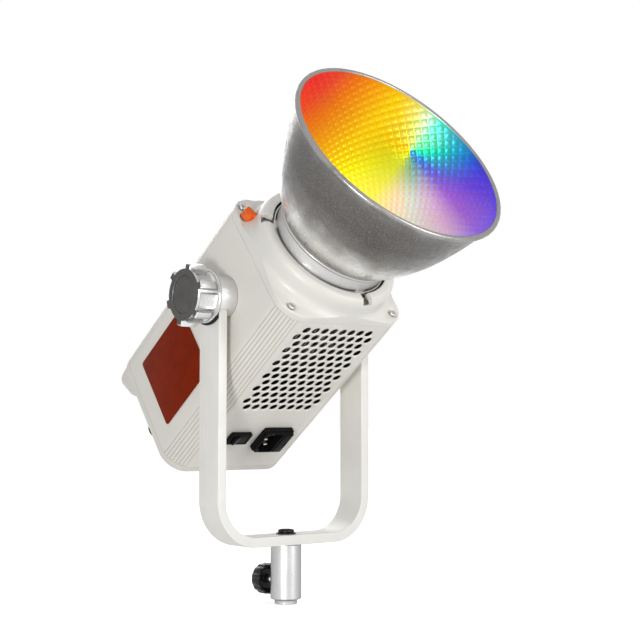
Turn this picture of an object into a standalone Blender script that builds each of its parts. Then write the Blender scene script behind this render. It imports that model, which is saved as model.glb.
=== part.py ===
"""An LED video light on a yoke: a fluted, vented head with a bayonet front, a reflector and a stand socket.

Lengths are metres. +Z is up, the lamp looks along -Y when it is level, and the origin is the middle of the
stand socket's lower rim. The head has a frame of its own on the tilt axis: X to the right, Y up and Z forward
along the optical axis. Heights called w in the comments are places on that axis.
"""

import math

import bmesh
import bpy
from mathutils import Matrix, Vector

for old in list(bpy.data.objects):
    bpy.data.objects.remove(old)

# Fits and finish
FIT = 0.0003
OVERRUN = 0.0010
WELD = 0.00001
SCREW_MERGE = 0.0001
SHARP_ANGLE = math.radians(32)
FINE_STEPS = 36
ROUND_STEPS = 24
SMALL_STEPS = 12
HOLE_STEPS = 8
ARC_STEPS = 4

# Lamp body, an extrusion along the optical axis
TILT = math.radians(37.0)
BODY_WIDTH = 0.1224
BODY_HEIGHT = 0.1230
BODY_CORNER = 0.0206
BODY_WALL = 0.0020
BODY_FRONT = 0.0444
BODY_BACK = 0.1403
FLUTE_COUNT = 8
FLUTE_PITCH = 0.0030
FLUTE_WIDTH = 0.0008
FLUTE_DEPTH = 0.0004
SCREW_INSET = (0.0101, 0.0104)
POST_RADIUS = 0.0052
TAP_RADIUS = 0.0019
RAIL_DROP = 0.0405
RAIL_LEVEL = BODY_HEIGHT / 2 - RAIL_DROP
RAIL_DEPTH = 0.0030
RAIL_THICKNESS = 0.0015
BOARD_THICKNESS = 0.0016
VENT_RADIUS = 0.00345
VENT_PITCH = 0.00895
VENT_ROW_PITCH = 0.00786
VENT_SETBACK = 0.0097
VENT_ROWS = 13
TOP_VENT_ROWS = 3
SHORT_ROW = 8
PLATE_MARGIN = 0.0291
PLATE_HEIGHT = BODY_HEIGHT - 2 * PLATE_MARGIN
PLATE_LENGTH = 0.0727
PLATE_THICKNESS = 0.0006
PLATE_CORNER = 0.0028
PLATE_RISE = 0.0007
PLATE_SETBACK = 0.0176

# Front bezel and its bayonet
LAND_THICKNESS = 0.0055
LAND_ROUND = 0.0015
BEZEL_LENGTH = 0.0252
RING_SETBACK = 0.0002
RING_RADIUS = min(BODY_WIDTH, BODY_HEIGHT) / 2 - RING_SETBACK
LIP_SETBACK = 0.0050
LIP_RADIUS = RING_RADIUS - LIP_SETBACK
SHOULDER_LENGTH = 0.0079
MOUTH_SETBACK = 0.0106
MOUTH_RADIUS = RING_RADIUS - MOUTH_SETBACK
MOUTH_CHAMFER = 0.0006
GALLERY_DEPTH = 0.0070
GALLERY_RADIUS = MOUTH_RADIUS + GALLERY_DEPTH
GALLERY_LENGTH = 0.0042
LIP_LENGTH = 0.0047
LUG_COUNT = 3
LUG_WIDTH = 0.0091
LUG_REACH = 0.0066
LATCH_ANGLE = math.radians(144)
LOCK_TURN = math.radians(14)
LATCH_WIDTH = 0.0100
LATCH_REACH = 0.0098
LATCH_HEIGHT = 0.0095
LATCH_TAPER_SHARE = 0.7
LATCH_ROUND = 0.0009
LATCH_TRAVEL = 0.0035
CATCH_WIDTH = 0.0050
CATCH_REACH = 0.0060
CATCH_HEIGHT = 0.0060
SCREW_RADIUS = 0.0015
SCREW_HEAD_RADIUS = 0.0034
SCREW_HEAD_HEIGHT = 0.0020
SCREW_DOME_SHARE = 0.7
SCREW_LENGTH = 0.0140

# Light engine
GLASS_SETBACK = 0.0077
GLASS_RADIUS = MOUTH_RADIUS - GLASS_SETBACK
GLASS_THICKNESS = 0.0022
GLASS_LEDGE = 0.0027
SINK_MARGIN = 0.0162
SINK_SIZE = min(BODY_WIDTH, BODY_HEIGHT) - 2 * SINK_MARGIN
SINK_BASE = 0.0080
SINK_LENGTH = 0.0460
FIN_COUNT = 14
FIN_THICKNESS = 0.0012
STANDOFF_RADIUS = 0.0035
STANDOFF_LENGTH = 0.0084
STANDOFF_INSET = 0.0070
STANDOFF_SPACING = SINK_SIZE - 2 * STANDOFF_INSET
COB_SIZE = 0.0380
EMITTER_RADIUS = 0.0110
EMITTER_THICKNESS = 0.0006
HOLDER_RADIUS = 0.0270
HOLDER_THICKNESS = 0.0042
FAN_MARGIN = 0.0050
FAN_SIZE = SINK_SIZE - 2 * FAN_MARGIN
FAN_DEPTH = 0.0250
FAN_CORNER = 0.0040
FAN_RIM = 0.0017
FAN_BORE = FAN_SIZE / 2 - FAN_RIM
FAN_HUB = 0.0160
FAN_SPIDER = 0.0030
FAN_PIN = 0.0015
BLADE_COUNT = 7
BLADE_THICKNESS = 0.0012
BLADE_CHORD = 0.0190
BLADE_CLEARANCE = 0.0013
BLADE_REACH = FAN_BORE - BLADE_CLEARANCE
BLADE_ANGLE = math.radians(40)

# Reflector, with its mounting ring
RING_NECK_SETBACK = 0.0019
RING_NECK_RADIUS = MOUTH_RADIUS - RING_NECK_SETBACK
RING_NECK_WALL = 0.0010
RING_HUB_GAP = 0.0005
RING_HUB_LENGTH = 0.0065
RING_LENGTH = 0.0207
RING_BEAD = 0.0005
REFLECTOR_RADIUS = 0.0900
REFLECTOR_LENGTH = 0.0889
REFLECTOR_WALL = 0.0012
REFLECTOR_BASE_FLARE = 0.0017
REFLECTOR_BASE_RADIUS = RING_NECK_RADIUS + REFLECTOR_BASE_FLARE
REFLECTOR_NECK_LENGTH = 0.0100
RIM_RADIUS = 0.0015
BELLY_RADIUS_SHARE = 0.847
BELLY_HEIGHT_SHARE = 0.328

# Electronics
POWER_BOARD_LENGTH = 0.0850
POWER_BOARD_SETBACK = 0.0103
TRANSFORMER_SIZE = (0.0320, 0.0240, 0.0280)
TRANSFORMER_PLACE = (-0.0250, 0.0460)
CAPACITOR_RADIUS = 0.0080
CAPACITOR_LENGTH = 0.0280
CAPACITOR_PLACE = (0.0250, 0.0300)
CONTROL_BOARD_MARGIN = 0.0122
CONTROL_BOARD_HEIGHT = 0.0380
CONTROL_BOARD_SIZE = (BODY_WIDTH - 2 * CONTROL_BOARD_MARGIN, CONTROL_BOARD_HEIGHT)
CONTROL_GAP = 0.0040
BOARD_POST_RADIUS = 0.0030
BOARD_POST_INSET = (0.0240, 0.0060)

# Rear cover, its console and the controls
COVER_THICKNESS = 0.0077
COVER_WALL = 0.0025
COVER_ROUND = 0.0030
CONSOLE_MARGIN = 0.0092
CONSOLE_WIDTH = BODY_WIDTH - 2 * CONSOLE_MARGIN
CONSOLE_DROP = 0.0495
CONSOLE_FOOT = BODY_HEIGHT / 2 - CONSOLE_DROP
CONSOLE_HEIGHT = 0.0456
CONSOLE_DEPTH = 0.0227
CONSOLE_ROUND = 0.0020
CONSOLE_END_WALL = 0.0070
CONSOLE_SHARES = (
    (0.17, 0.25),
    (0.29, 0.42),
    (0.37, 0.58),
    (0.487, 0.757),
    (0.82, 0.995),
    (0.936, 0.98),
    (0.99, 0.745),
    (1.0, 0.46),
)
SCREEN_FOOT = 3
WINDOW_SIZE = (0.0660, 0.0140)
WINDOW_THICKNESS = 0.0010
APERTURE_SIZE = (0.0580, 0.0100)
PANEL_THICKNESS = 0.0020
CONTROL_LEVEL = 0.0090
DIAL_INSET = 0.0070
DIAL_SPACING = CONTROL_BOARD_SIZE[0] - 2 * DIAL_INSET
DIAL_RADIUS = 0.00975
DIAL_LENGTH = 0.0134
DIAL_ROUND = 0.0012
DIAL_RIBS = 16
DIAL_RIB_DEPTH = 0.0004
ENCODER_SIZE = 0.0120
ENCODER_SHAFT = 0.0030
ENCODER_REACH = 0.0100
BUTTON_SPACING_SHARE = 0.1786
BUTTON_SPACING = DIAL_SPACING * BUTTON_SPACING_SHARE
BUTTON_RADIUS = 0.0035
BUTTON_FLANGE = 0.0010
BUTTON_FLANGE_RADIUS = 0.0046
BUTTON_REACH = 0.0020
BUTTON_TRAVEL = 0.0008

# Mains inlet, fuse drawer and power rocker, on the lower face
INLET_PLACE = (0.0178, -0.09965)
INLET_BASE_SIZE = (0.0306, 0.0279)
INLET_CORE_SIZE = (0.0286, 0.0259)
INLET_BASE_THICKNESS = 0.0025
INLET_RISE = 0.0060
INLET_DEPTH = 0.0220
SOCKET_SIZE = (0.0165, 0.0240)
SOCKET_OFFSET = 0.0050
SOCKET_CHAMFER = 0.0050
SOCKET_BOTTOM = 0.0160
BLADE_SIZE = (0.0020, 0.0040)
BLADE_LENGTH = 0.0120
BLADE_SPREAD = 0.0070
BLADE_OFFSET = 0.0020
DRAWER_SIZE = (0.0078, 0.0226)
DRAWER_OFFSET = 0.0089
DRAWER_LENGTH = 0.0190
DRAWER_PROUD = 0.0008
FUSE_RADIUS = 0.0026
FUSE_LENGTH = 0.0200
SWITCH_PLACE = (-0.0170, -0.0986)
SWITCH_BASE_SIZE = (0.0205, 0.0135)
SWITCH_RISE = 0.0030
SWITCH_DEPTH = 0.0150
SWITCH_CORE_INSET = 0.0011
ROCKER_HALF_LENGTH = 0.0070
ROCKER_WIDTH = 0.0092
ROCKER_END = 0.0037
ROCKER_MIDDLE = 0.0024
ROCKER_BACK = 0.0040
ROCKER_SINK = 0.0007
ROCKER_SWING = math.radians(22)
SWITCH_WELL = 0.0095

# Yoke, pivots and tilt knob
YOKE_CLEARANCE = 0.00735
YOKE_GAP = BODY_WIDTH + 2 * YOKE_CLEARANCE
ARM_THICKNESS = 0.0077
ARM_WIDTH = 0.0274
ARM_DROP = 0.1854
YOKE_CORNER = 0.0290
SHOULDER_DROP = 0.0065
TONGUE_WIDTH = 0.0180
GROOVE_WIDTH = 0.0012
GROOVE_DEPTH = 0.0006
GROOVE_SPACING = 0.0092
STUD_RADIUS = 0.0040
STUD_HEAD_RADIUS = 0.0066
STUD_HEAD_LENGTH = 0.0035
PIVOT_PLATE_SIZE = 0.0280
PIVOT_PLATE_THICKNESS = 0.0030
COLLAR_RADIUS = 0.0175
COLLAR_CAP = 0.00095
PAD_OUTER_RADIUS = 0.0223
PAD_THICKNESS = 0.0012
BOLT_HEAD_RADIUS = 0.0080
BOLT_HEAD_LENGTH = 0.0050
BOLT_HEAD_ROUND = 0.0012
KNOB_RADIUS = 0.0200
KNOB_LENGTH = 0.02185
KNOB_ROUND = 0.0015
KNOB_FLANGE_RADIUS = 0.0208
KNOB_FLANGE_LENGTH = 0.0020
KNOB_RIDGE_COUNT = 6
KNOB_RIDGE_WIDTH = 0.0060
KNOB_RIDGE_RADIUS = 0.0245
KNOB_RIDGE_SETBACK = 0.0012
KNOB_RIDGE_ANGLE = math.radians(51)
KNOB_CAP_RADIUS = 0.0149
KNOB_CAP_DEPTH = 0.0020
KNOB_CAP_THICKNESS = 0.0014
KNOB_BORE_DEPTH = 0.0160

# Stand receiver, base screw and clamp screw
RECEIVER_RADIUS = 0.01225
RECEIVER_LENGTH = 0.0464
RECEIVER_CHAMFER = 0.0028
RECEIVER_RIM_LENGTH = 0.0038
RECEIVER_RIM_RADIUS = 0.0096
SOCKET_RADIUS = 0.0081
SOCKET_DEPTH = 0.0350
BASE_SCREW_RADIUS = 0.0025
BASE_HEAD_RADIUS = 0.0065
BASE_HEAD_HEIGHT = 0.0024
BASE_SCREW_REACH = 0.0080
WASHER_RADIUS = 0.0079
WASHER_THICKNESS = 0.0010
CLAMP_HEIGHT = 0.0173
CLAMP_SHANK_RADIUS = 0.00225
CLAMP_KNOB_RADIUS = 0.0123
CLAMP_KNOB_GAP = 0.0078
CLAMP_KNOB_LENGTH = 0.0110
CLAMP_HUB_RADIUS = 0.0050
CLAMP_HUB_LENGTH = 0.0030
CLAMP_LOBES = 13
CLAMP_LOBE_DEPTH = 0.0009
CLAMP_DISH = 0.0025
CLAMP_BORE_DEPTH = 0.0070

# Places worked out from the sizes above, on the optical axis
BEZEL_BACK = BODY_FRONT + FIT
LAND = BEZEL_BACK + LAND_THICKNESS
LIP = BEZEL_BACK + BEZEL_LENGTH
GALLERY_TOP = LIP - LIP_LENGTH
GALLERY_FLOOR = GALLERY_TOP - GALLERY_LENGTH
SINK_FRONT = BEZEL_BACK - STANDOFF_LENGTH - FIT
SINK_BACK = SINK_FRONT - SINK_LENGTH
FAN_FRONT = SINK_BACK - FIT
RING_BACK = GALLERY_FLOOR + FIT
RING_TOP = RING_BACK + RING_LENGTH
REFLECTOR_FLOOR = RING_TOP + FIT
COVER_FRONT = -BODY_BACK - FIT
COVER_BACK = COVER_FRONT - COVER_THICKNESS
COVER_FLOOR = COVER_BACK + COVER_WALL
CONTROL_BOARD_BACK = COVER_FLOOR + CONTROL_GAP

# Places worked out along the tilt axis, from the middle of the head outwards
WALL_INSIDE = BODY_WIDTH / 2 - BODY_WALL
PIVOT_PLATE_OUTSIDE = WALL_INSIDE - FIT
PIVOT_PLATE_INSIDE = PIVOT_PLATE_OUTSIDE - PIVOT_PLATE_THICKNESS
STUD_START = PIVOT_PLATE_INSIDE - FIT
COLLAR_START = BODY_WIDTH / 2 + FIT
ARM_INSIDE = YOKE_GAP / 2
ARM_OUTSIDE = ARM_INSIDE + ARM_THICKNESS
COLLAR_END = ARM_OUTSIDE + FIT + COLLAR_CAP
PAD_START = ARM_OUTSIDE + FIT
KNOB_START = PAD_START + PAD_THICKNESS + FIT
PIVOT_BORE = STUD_RADIUS + FIT

# Places worked out up the stand axis
BAR_DROP = ARM_DROP + ARM_THICKNESS
PIVOT_HEIGHT = RECEIVER_LENGTH + FIT + BAR_DROP
BAR_BOTTOM = PIVOT_HEIGHT - BAR_DROP
BAR_TOP = PIVOT_HEIGHT - ARM_DROP

# Turns that lay a piece's own Z along another axis
ALONG_X = (0, math.pi / 2, 0)
ALONG_MINUS_X = (0, -math.pi / 2, 0)
ALONG_Y = (-math.pi / 2, 0, 0)
ALONG_MINUS_Y = (math.pi / 2, 0, 0)
ALONG_MINUS_Z = (math.pi, 0, 0)

parts = bpy.data.collections.new("led_video_light")
cutters = bpy.data.collections.new("cutters")
bpy.context.scene.collection.children.link(parts)
bpy.context.scene.collection.children.link(cutters)


def finish_material(name, colour, roughness, metallic):
    """A plain Principled finish."""
    material = bpy.data.materials.new(name)
    material.use_nodes = True
    shader = material.node_tree.nodes["Principled BSDF"]
    shader.inputs["Base Color"].default_value = (*colour, 1)
    shader.inputs["Roughness"].default_value = roughness
    shader.inputs["Metallic"].default_value = metallic
    material.diffuse_color = (*colour, 1)
    return material


CREAM = finish_material("cream_paint", (0.76, 0.73, 0.66), 0.45, 0)
CREAM_RING = finish_material("cream_ring", (0.78, 0.75, 0.68), 0.4, 0)
ORANGE = finish_material("orange_plastic", (0.85, 0.13, 0.03), 0.4, 0)
RED_BROWN = finish_material("red_brown_plate", (0.19, 0.018, 0.003), 0.4, 0.2)
SPUN = finish_material("spun_aluminium", (0.55, 0.55, 0.56), 0.32, 1)
STEEL = finish_material("steel", (0.6, 0.6, 0.6), 0.3, 1)
SILVER = finish_material("brushed_silver", (0.68, 0.68, 0.69), 0.3, 1)
ALUMINIUM = finish_material("aluminium", (0.7, 0.7, 0.71), 0.45, 1)
BLACK_STEEL = finish_material("black_steel", (0.02, 0.02, 0.022), 0.35, 0.6)
BLACK_PLASTIC = finish_material("black_plastic", (0.012, 0.012, 0.013), 0.45, 0)
DARK_GREY = finish_material("dark_grey", (0.06, 0.06, 0.065), 0.5, 0)
BOARD_GREEN = finish_material("board_green", (0.02, 0.12, 0.05), 0.5, 0)
COPPER = finish_material("copper_winding", (0.5, 0.2, 0.08), 0.4, 0.6)
PHOSPHOR = finish_material("phosphor", (0.9, 0.7, 0.15), 0.6, 0)
CERAMIC = finish_material("white_ceramic", (0.85, 0.85, 0.83), 0.5, 0)
GLASS = finish_material("cover_glass", (0.85, 0.9, 0.9), 0.05, 0)
SCREEN = finish_material("screen", (0.01, 0.015, 0.02), 0.1, 0)
RUBBER = finish_material("rubber", (0.02, 0.02, 0.02), 0.8, 0)
BRASS = finish_material("nickel_pin", (0.65, 0.62, 0.55), 0.3, 1)


def empty(name, location, rotation=(0, 0, 0), parent=None):
    frame = bpy.data.objects.new(name, None)
    parts.objects.link(frame)
    frame.location = location
    frame.rotation_euler = rotation
    frame.parent = parent
    return frame


def place(piece, material, parent, location, rotation, collection=parts):
    """Links a new object with its finish, under its parent's frame."""
    collection.objects.link(piece)
    piece.data.materials.append(material)
    piece.parent = parent
    piece.location = location
    piece.rotation_euler = rotation
    return piece


def bake(piece):
    """Turns the modifiers into mesh and shades the round faces smooth."""
    graph = bpy.context.evaluated_depsgraph_get()
    mesh = bpy.data.meshes.new_from_object(piece.evaluated_get(graph))
    piece.modifiers.clear()
    piece.data = mesh
    mesh.name = piece.name
    mesh.shade_smooth()
    mesh.set_sharp_from_angle(angle=SHARP_ANGLE)
    return piece


def from_bmesh(name, shape):
    mesh = bpy.data.meshes.new(name)
    shape.to_mesh(mesh)
    shape.free()
    return bpy.data.objects.new(name, mesh)


def box(name, size, location, material, parent=None, rotation=(0, 0, 0)):
    shape = bmesh.new()
    bmesh.ops.create_cube(shape, size=1, matrix=Matrix.Diagonal((*size, 1)))
    return place(from_bmesh(name, shape), material, parent, location, rotation)


def cylinder(name, radius, length, location, material, parent=None, rotation=(0, 0, 0), steps=SMALL_STEPS):
    shape = bmesh.new()
    bmesh.ops.create_cone(shape, cap_ends=True, segments=steps, radius1=radius, radius2=radius, depth=length)
    piece = place(from_bmesh(name, shape), material, parent, location, rotation)
    piece.data.shade_smooth()
    piece.data.set_sharp_from_angle(angle=SHARP_ANGLE)
    return piece


def turned(name, profile, location, material, parent=None, rotation=(0, 0, 0), steps=ROUND_STEPS):
    """Turns a profile of (radius, height) about its own Z. Closed unless both ends lie on the axis."""
    shape = bmesh.new()
    corners = [shape.verts.new((radius, 0, height)) for radius, height in profile]
    for first, second in zip(corners, corners[1:]):
        shape.edges.new((first, second))
    if profile[0][0] > 0 or profile[-1][0] > 0:
        shape.edges.new((corners[-1], corners[0]))
    piece = place(from_bmesh(name, shape), material, parent, location, rotation)
    screw = piece.modifiers.new("turn", "SCREW")
    screw.steps = steps
    screw.render_steps = steps
    screw.use_merge_vertices = True
    screw.merge_threshold = SCREW_MERGE
    return bake(piece)


def slab(name, loops, thickness, location, material, parent=None, rotation=(0, 0, 0)):
    """A flat outline with any holes in it, in the XY plane, with its thickness centred on Z."""
    curve = bpy.data.curves.new(name, "CURVE")
    curve.dimensions = "2D"
    curve.fill_mode = "BOTH"
    curve.extrude = thickness / 2
    for loop in loops:
        spline = curve.splines.new("POLY")
        spline.points.add(len(loop) - 1)
        for point, (x, y) in zip(spline.points, loop):
            point.co = (x, y, 0, 1)
        spline.use_cyclic_u = True
    guide = bpy.data.objects.new(name + "_outline", curve)
    cutters.objects.link(guide)
    graph = bpy.context.evaluated_depsgraph_get()
    mesh = bpy.data.meshes.new_from_object(guide.evaluated_get(graph))
    shape = bmesh.new()
    shape.from_mesh(mesh)
    shape.transform(guide.matrix_world)
    bmesh.ops.remove_doubles(shape, verts=shape.verts[:], dist=WELD)
    bmesh.ops.recalc_face_normals(shape, faces=shape.faces[:])
    bpy.data.objects.remove(guide)
    bpy.data.meshes.remove(mesh)
    piece = place(from_bmesh(name, shape), material, parent, location, rotation)
    piece.data.shade_smooth()
    piece.data.set_sharp_from_angle(angle=SHARP_ANGLE)
    return piece


def as_cutter(piece):
    """Moves a shape to the cutters, where it is drawn as a wire and left out of the model."""
    parts.objects.unlink(piece)
    cutters.objects.link(piece)
    piece.hide_render = True
    piece.display_type = "WIRE"
    return piece


def combine(target, tools, operation):
    """Cuts or joins the tools, one after the other."""
    for tool in tools:
        as_cutter(tool)
        boolean = target.modifiers.new(operation.lower(), "BOOLEAN")
        boolean.object = tool
        boolean.operation = operation
    return bake(target)


def cut(target, *tools):
    return combine(target, tools, "DIFFERENCE")


def join(target, *tools):
    return combine(target, tools, "UNION")


def prisms(name, places, radius, length, parent, rotation, level):
    """One tool with many round holes, at places in the tool's own XY plane."""
    shape = bmesh.new()
    for x, y in places:
        bmesh.ops.create_cone(
            shape,
            cap_ends=True,
            segments=HOLE_STEPS,
            radius1=radius,
            radius2=radius,
            depth=length,
            matrix=Matrix.Translation((x, y, 0)),
        )
    return place(from_bmesh(name, shape), DARK_GREY, parent, level, rotation)


def round_edges(piece, width, chosen, segments=2):
    """Rounds the sharp edges whose two ends both pass the test."""
    shape = bmesh.new()
    shape.from_mesh(piece.data)
    edges = [
        edge
        for edge in shape.edges
        if edge.calc_face_angle(0) > SHARP_ANGLE and all(chosen(corner.co) for corner in edge.verts)
    ]
    bmesh.ops.bevel(
        shape, geom=edges, offset=width, segments=segments, profile=0.5, affect="EDGES", clamp_overlap=True
    )
    shape.to_mesh(piece.data)
    shape.free()
    piece.data.shade_smooth()
    piece.data.set_sharp_from_angle(angle=SHARP_ANGLE)
    return piece


def arc(centre, radius, start, end, steps=ARC_STEPS):
    """Points on an arc, both ends included."""
    angles = [start + (end - start) * step / steps for step in range(steps + 1)]
    return [(centre[0] + radius * math.cos(a), centre[1] + radius * math.sin(a)) for a in angles]


def circle(radius, steps=FINE_STEPS):
    return arc((0, 0), radius, 0, math.tau, steps)[:-1]


def mirrored(quadrant, second=None):
    """An outline from its upper right quarter, drawn anticlockwise, and a lower right one if it differs."""
    lower = second or quadrant
    left = [(-x, y) for x, y in reversed(quadrant)]
    lower_left = [(-x, -y) for x, y in lower]
    lower_right = [(x, -y) for x, y in reversed(lower)]
    return quadrant + left + lower_left + lower_right


def rounded_rectangle(width, height, radius, steps=ARC_STEPS):
    centre = (width / 2 - radius, height / 2 - radius)
    return mirrored(arc(centre, radius, 0, math.pi / 2, steps))


def polar(angle, radius):
    return (radius * math.cos(angle), radius * math.sin(angle))


def fluted_outline():
    """The extrusion's outside, with V grooves round each corner."""
    centre = (BODY_WIDTH / 2 - BODY_CORNER, BODY_HEIGHT / 2 - BODY_CORNER)
    half = FLUTE_WIDTH / 2 / BODY_CORNER
    stops = [(0, BODY_CORNER)]
    for index in range(FLUTE_COUNT):
        middle = math.pi / 4 + (index - (FLUTE_COUNT - 1) / 2) * FLUTE_PITCH / BODY_CORNER
        stops.append((middle - half, BODY_CORNER))
        stops.append((middle, BODY_CORNER - FLUTE_DEPTH))
        stops.append((middle + half, BODY_CORNER))
    stops.append((math.pi / 2, BODY_CORNER))
    corner = []
    for angle, radius in stops:
        x, y = polar(angle, radius)
        corner.append((centre[0] + x, centre[1] + y))
    return mirrored(corner)


def cavity_outline(rails):
    """The extrusion's inside: four walls, a screw post in each corner and two board rails if asked for."""
    half_height = BODY_HEIGHT / 2 - BODY_WALL
    post = screw_places()[0]
    corner = arc(post, POST_RADIUS, -math.pi / 2, -math.pi, ARC_STEPS // 2)
    flank_x, flank_y = (side - POST_RADIUS - BODY_WALL / 2 for side in post)
    quadrant = [(WALL_INSIDE, flank_y), *corner, (flank_x, half_height)]
    slot = BOARD_THICKNESS / 2 + FIT
    rib = slot + RAIL_THICKNESS
    tip = WALL_INSIDE - RAIL_DEPTH
    ribs = [
        (WALL_INSIDE, RAIL_LEVEL - rib),
        (tip, RAIL_LEVEL - rib),
        (tip, RAIL_LEVEL - slot),
        (WALL_INSIDE, RAIL_LEVEL - slot),
        (WALL_INSIDE, RAIL_LEVEL + slot),
        (tip, RAIL_LEVEL + slot),
        (tip, RAIL_LEVEL + rib),
        (WALL_INSIDE, RAIL_LEVEL + rib),
    ]
    return mirrored((ribs if rails else []) + quadrant, quadrant)


def screw_places():
    x, y = BODY_WIDTH / 2 - SCREW_INSET[0], BODY_HEIGHT / 2 - SCREW_INSET[1]
    return [(x, y), (-x, y), (-x, -y), (x, -y)]


def vent_places(rows):
    """Hole centres as (across, along the axis), in rows that alternate between a short and a long one."""
    places = []
    for row in range(rows):
        count = SHORT_ROW + row % 2
        along = BODY_FRONT - VENT_SETBACK - row * VENT_ROW_PITCH
        places += [((index - (count - 1) / 2) * VENT_PITCH, along) for index in range(count)]
    return places


def housing_extrusion():
    length = BODY_FRONT + BODY_BACK
    middle = (BODY_FRONT - BODY_BACK) / 2
    bores = [[(x + dx, y + dy) for dx, dy in circle(TAP_RADIUS, HOLE_STEPS)] for x, y in screw_places()]
    loops = [fluted_outline(), cavity_outline(True), *bores]
    body = slab("housing_extrusion", loops, length, (0, 0, middle), CREAM, head)
    wall_level = BODY_HEIGHT / 2 - BODY_WALL / 2
    depth = BODY_WALL + 2 * OVERRUN
    rows = vent_places(VENT_ROWS)
    lower = prisms("lower_vents", rows, VENT_RADIUS, depth, head, ALONG_MINUS_Y, (0, -wall_level, 0))
    flipped = [(x, -along) for x, along in vent_places(TOP_VENT_ROWS)]
    upper = prisms("upper_vents", flipped, VENT_RADIUS, depth, head, ALONG_Y, (0, wall_level, 0))
    inlet_hole = box(
        "inlet_hole",
        (INLET_CORE_SIZE[0] + 2 * FIT, depth, INLET_CORE_SIZE[1] + 2 * FIT),
        (INLET_PLACE[0], -wall_level, INLET_PLACE[1]),
        DARK_GREY,
        head,
    )
    core = [side - 2 * SWITCH_CORE_INSET for side in SWITCH_BASE_SIZE]
    switch_hole = box(
        "switch_hole",
        (core[0] + 2 * FIT, depth, core[1] + 2 * FIT),
        (SWITCH_PLACE[0], -wall_level, SWITCH_PLACE[1]),
        DARK_GREY,
        head,
    )
    across = BODY_WIDTH + 2 * OVERRUN
    pivot_hole = cylinder("pivot_hole", PIVOT_BORE, across, (0, 0, 0), DARK_GREY, head, ALONG_X)
    return cut(body, lower, upper, inlet_hole, switch_hole, pivot_hole)


def side_plate():
    """The coloured plate on the left wall, behind the yoke arm."""
    outline = rounded_rectangle(PLATE_LENGTH, PLATE_HEIGHT, PLATE_CORNER)
    across = -BODY_WIDTH / 2 - FIT - PLATE_THICKNESS / 2
    along = -BODY_BACK + PLATE_SETBACK + PLATE_LENGTH / 2
    middle = (across, PLATE_RISE, along)
    slab("side_plate", [outline], PLATE_THICKNESS, middle, RED_BROWN, head, ALONG_MINUS_X)


def bezel_profile():
    """The bezel ring, from the lip down its outer side and up the inner one, heights from its back."""
    lip = BEZEL_LENGTH
    top = lip - LIP_LENGTH
    floor = top - GALLERY_LENGTH
    ledge = GLASS_THICKNESS + 2 * FIT
    shoulder = [
        (
            LIP_RADIUS + (RING_RADIUS - LIP_RADIUS) * math.sin(math.pi / 2 * step / ARC_STEPS),
            lip - SHOULDER_LENGTH + SHOULDER_LENGTH * math.cos(math.pi / 2 * step / ARC_STEPS),
        )
        for step in range(ARC_STEPS + 1)
    ]
    return [
        (MOUTH_RADIUS + MOUTH_CHAMFER, lip),
        *shoulder,
        (RING_RADIUS, ledge),
        (GLASS_RADIUS - GLASS_LEDGE, ledge),
        (GLASS_RADIUS - GLASS_LEDGE, LAND_THICKNESS + FIT),
        (MOUTH_RADIUS, LAND_THICKNESS + FIT),
        (MOUTH_RADIUS, floor),
        (GALLERY_RADIUS, floor),
        (GALLERY_RADIUS, top),
        (MOUTH_RADIUS, top),
        (MOUTH_RADIUS, lip - MOUTH_CHAMFER),
    ]


def front_bezel():
    ring = turned("front_bezel", bezel_profile(), (0, 0, BEZEL_BACK), CREAM_RING, head, steps=FINE_STEPS)
    outline = rounded_rectangle(BODY_WIDTH, BODY_HEIGHT, BODY_CORNER)
    hole = circle(GLASS_RADIUS + FIT)
    middle = (BEZEL_BACK + LAND) / 2
    lands = slab("bezel_lands", [outline, hole], LAND_THICKNESS, (0, 0, middle), CREAM_RING, head)
    round_edges(lands, LAND_ROUND, lambda point: point.z > 0 and point.xy.length > RING_RADIUS)
    half = STANDOFF_SPACING / 2
    posts = [
        cylinder(
            "bezel_post",
            STANDOFF_RADIUS,
            STANDOFF_LENGTH + LAND_THICKNESS / 2,
            (x * half, y * half, BEZEL_BACK - STANDOFF_LENGTH / 2 + LAND_THICKNESS / 4),
            CREAM_RING,
            head,
        )
        for x in (-1, 1)
        for y in (-1, 1)
    ]
    join(ring, lands, *posts)
    notch_length = GALLERY_RADIUS - MOUTH_RADIUS + OVERRUN
    notches = []
    for index in range(LUG_COUNT):
        angle = LATCH_ANGLE + LOCK_TURN + index * math.tau / LUG_COUNT
        x, y = polar(angle, GALLERY_RADIUS - notch_length / 2)
        size = (notch_length, LUG_WIDTH + 2 * FIT, LIP_LENGTH + GALLERY_LENGTH / 2 + OVERRUN)
        level = LIP + OVERRUN - size[2] / 2
        notches.append(box("bezel_notch", size, (x, y, level), DARK_GREY, head, (0, 0, angle)))
    depth = LAND_THICKNESS + 2 * OVERRUN
    screw_holes = [
        cylinder("bezel_hole", TAP_RADIUS, depth, (x, y, middle), CREAM_RING, head, steps=HOLE_STEPS)
        for x, y in screw_places()
    ]
    return cut(ring, *notches, *screw_holes, *latch_room())


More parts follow.
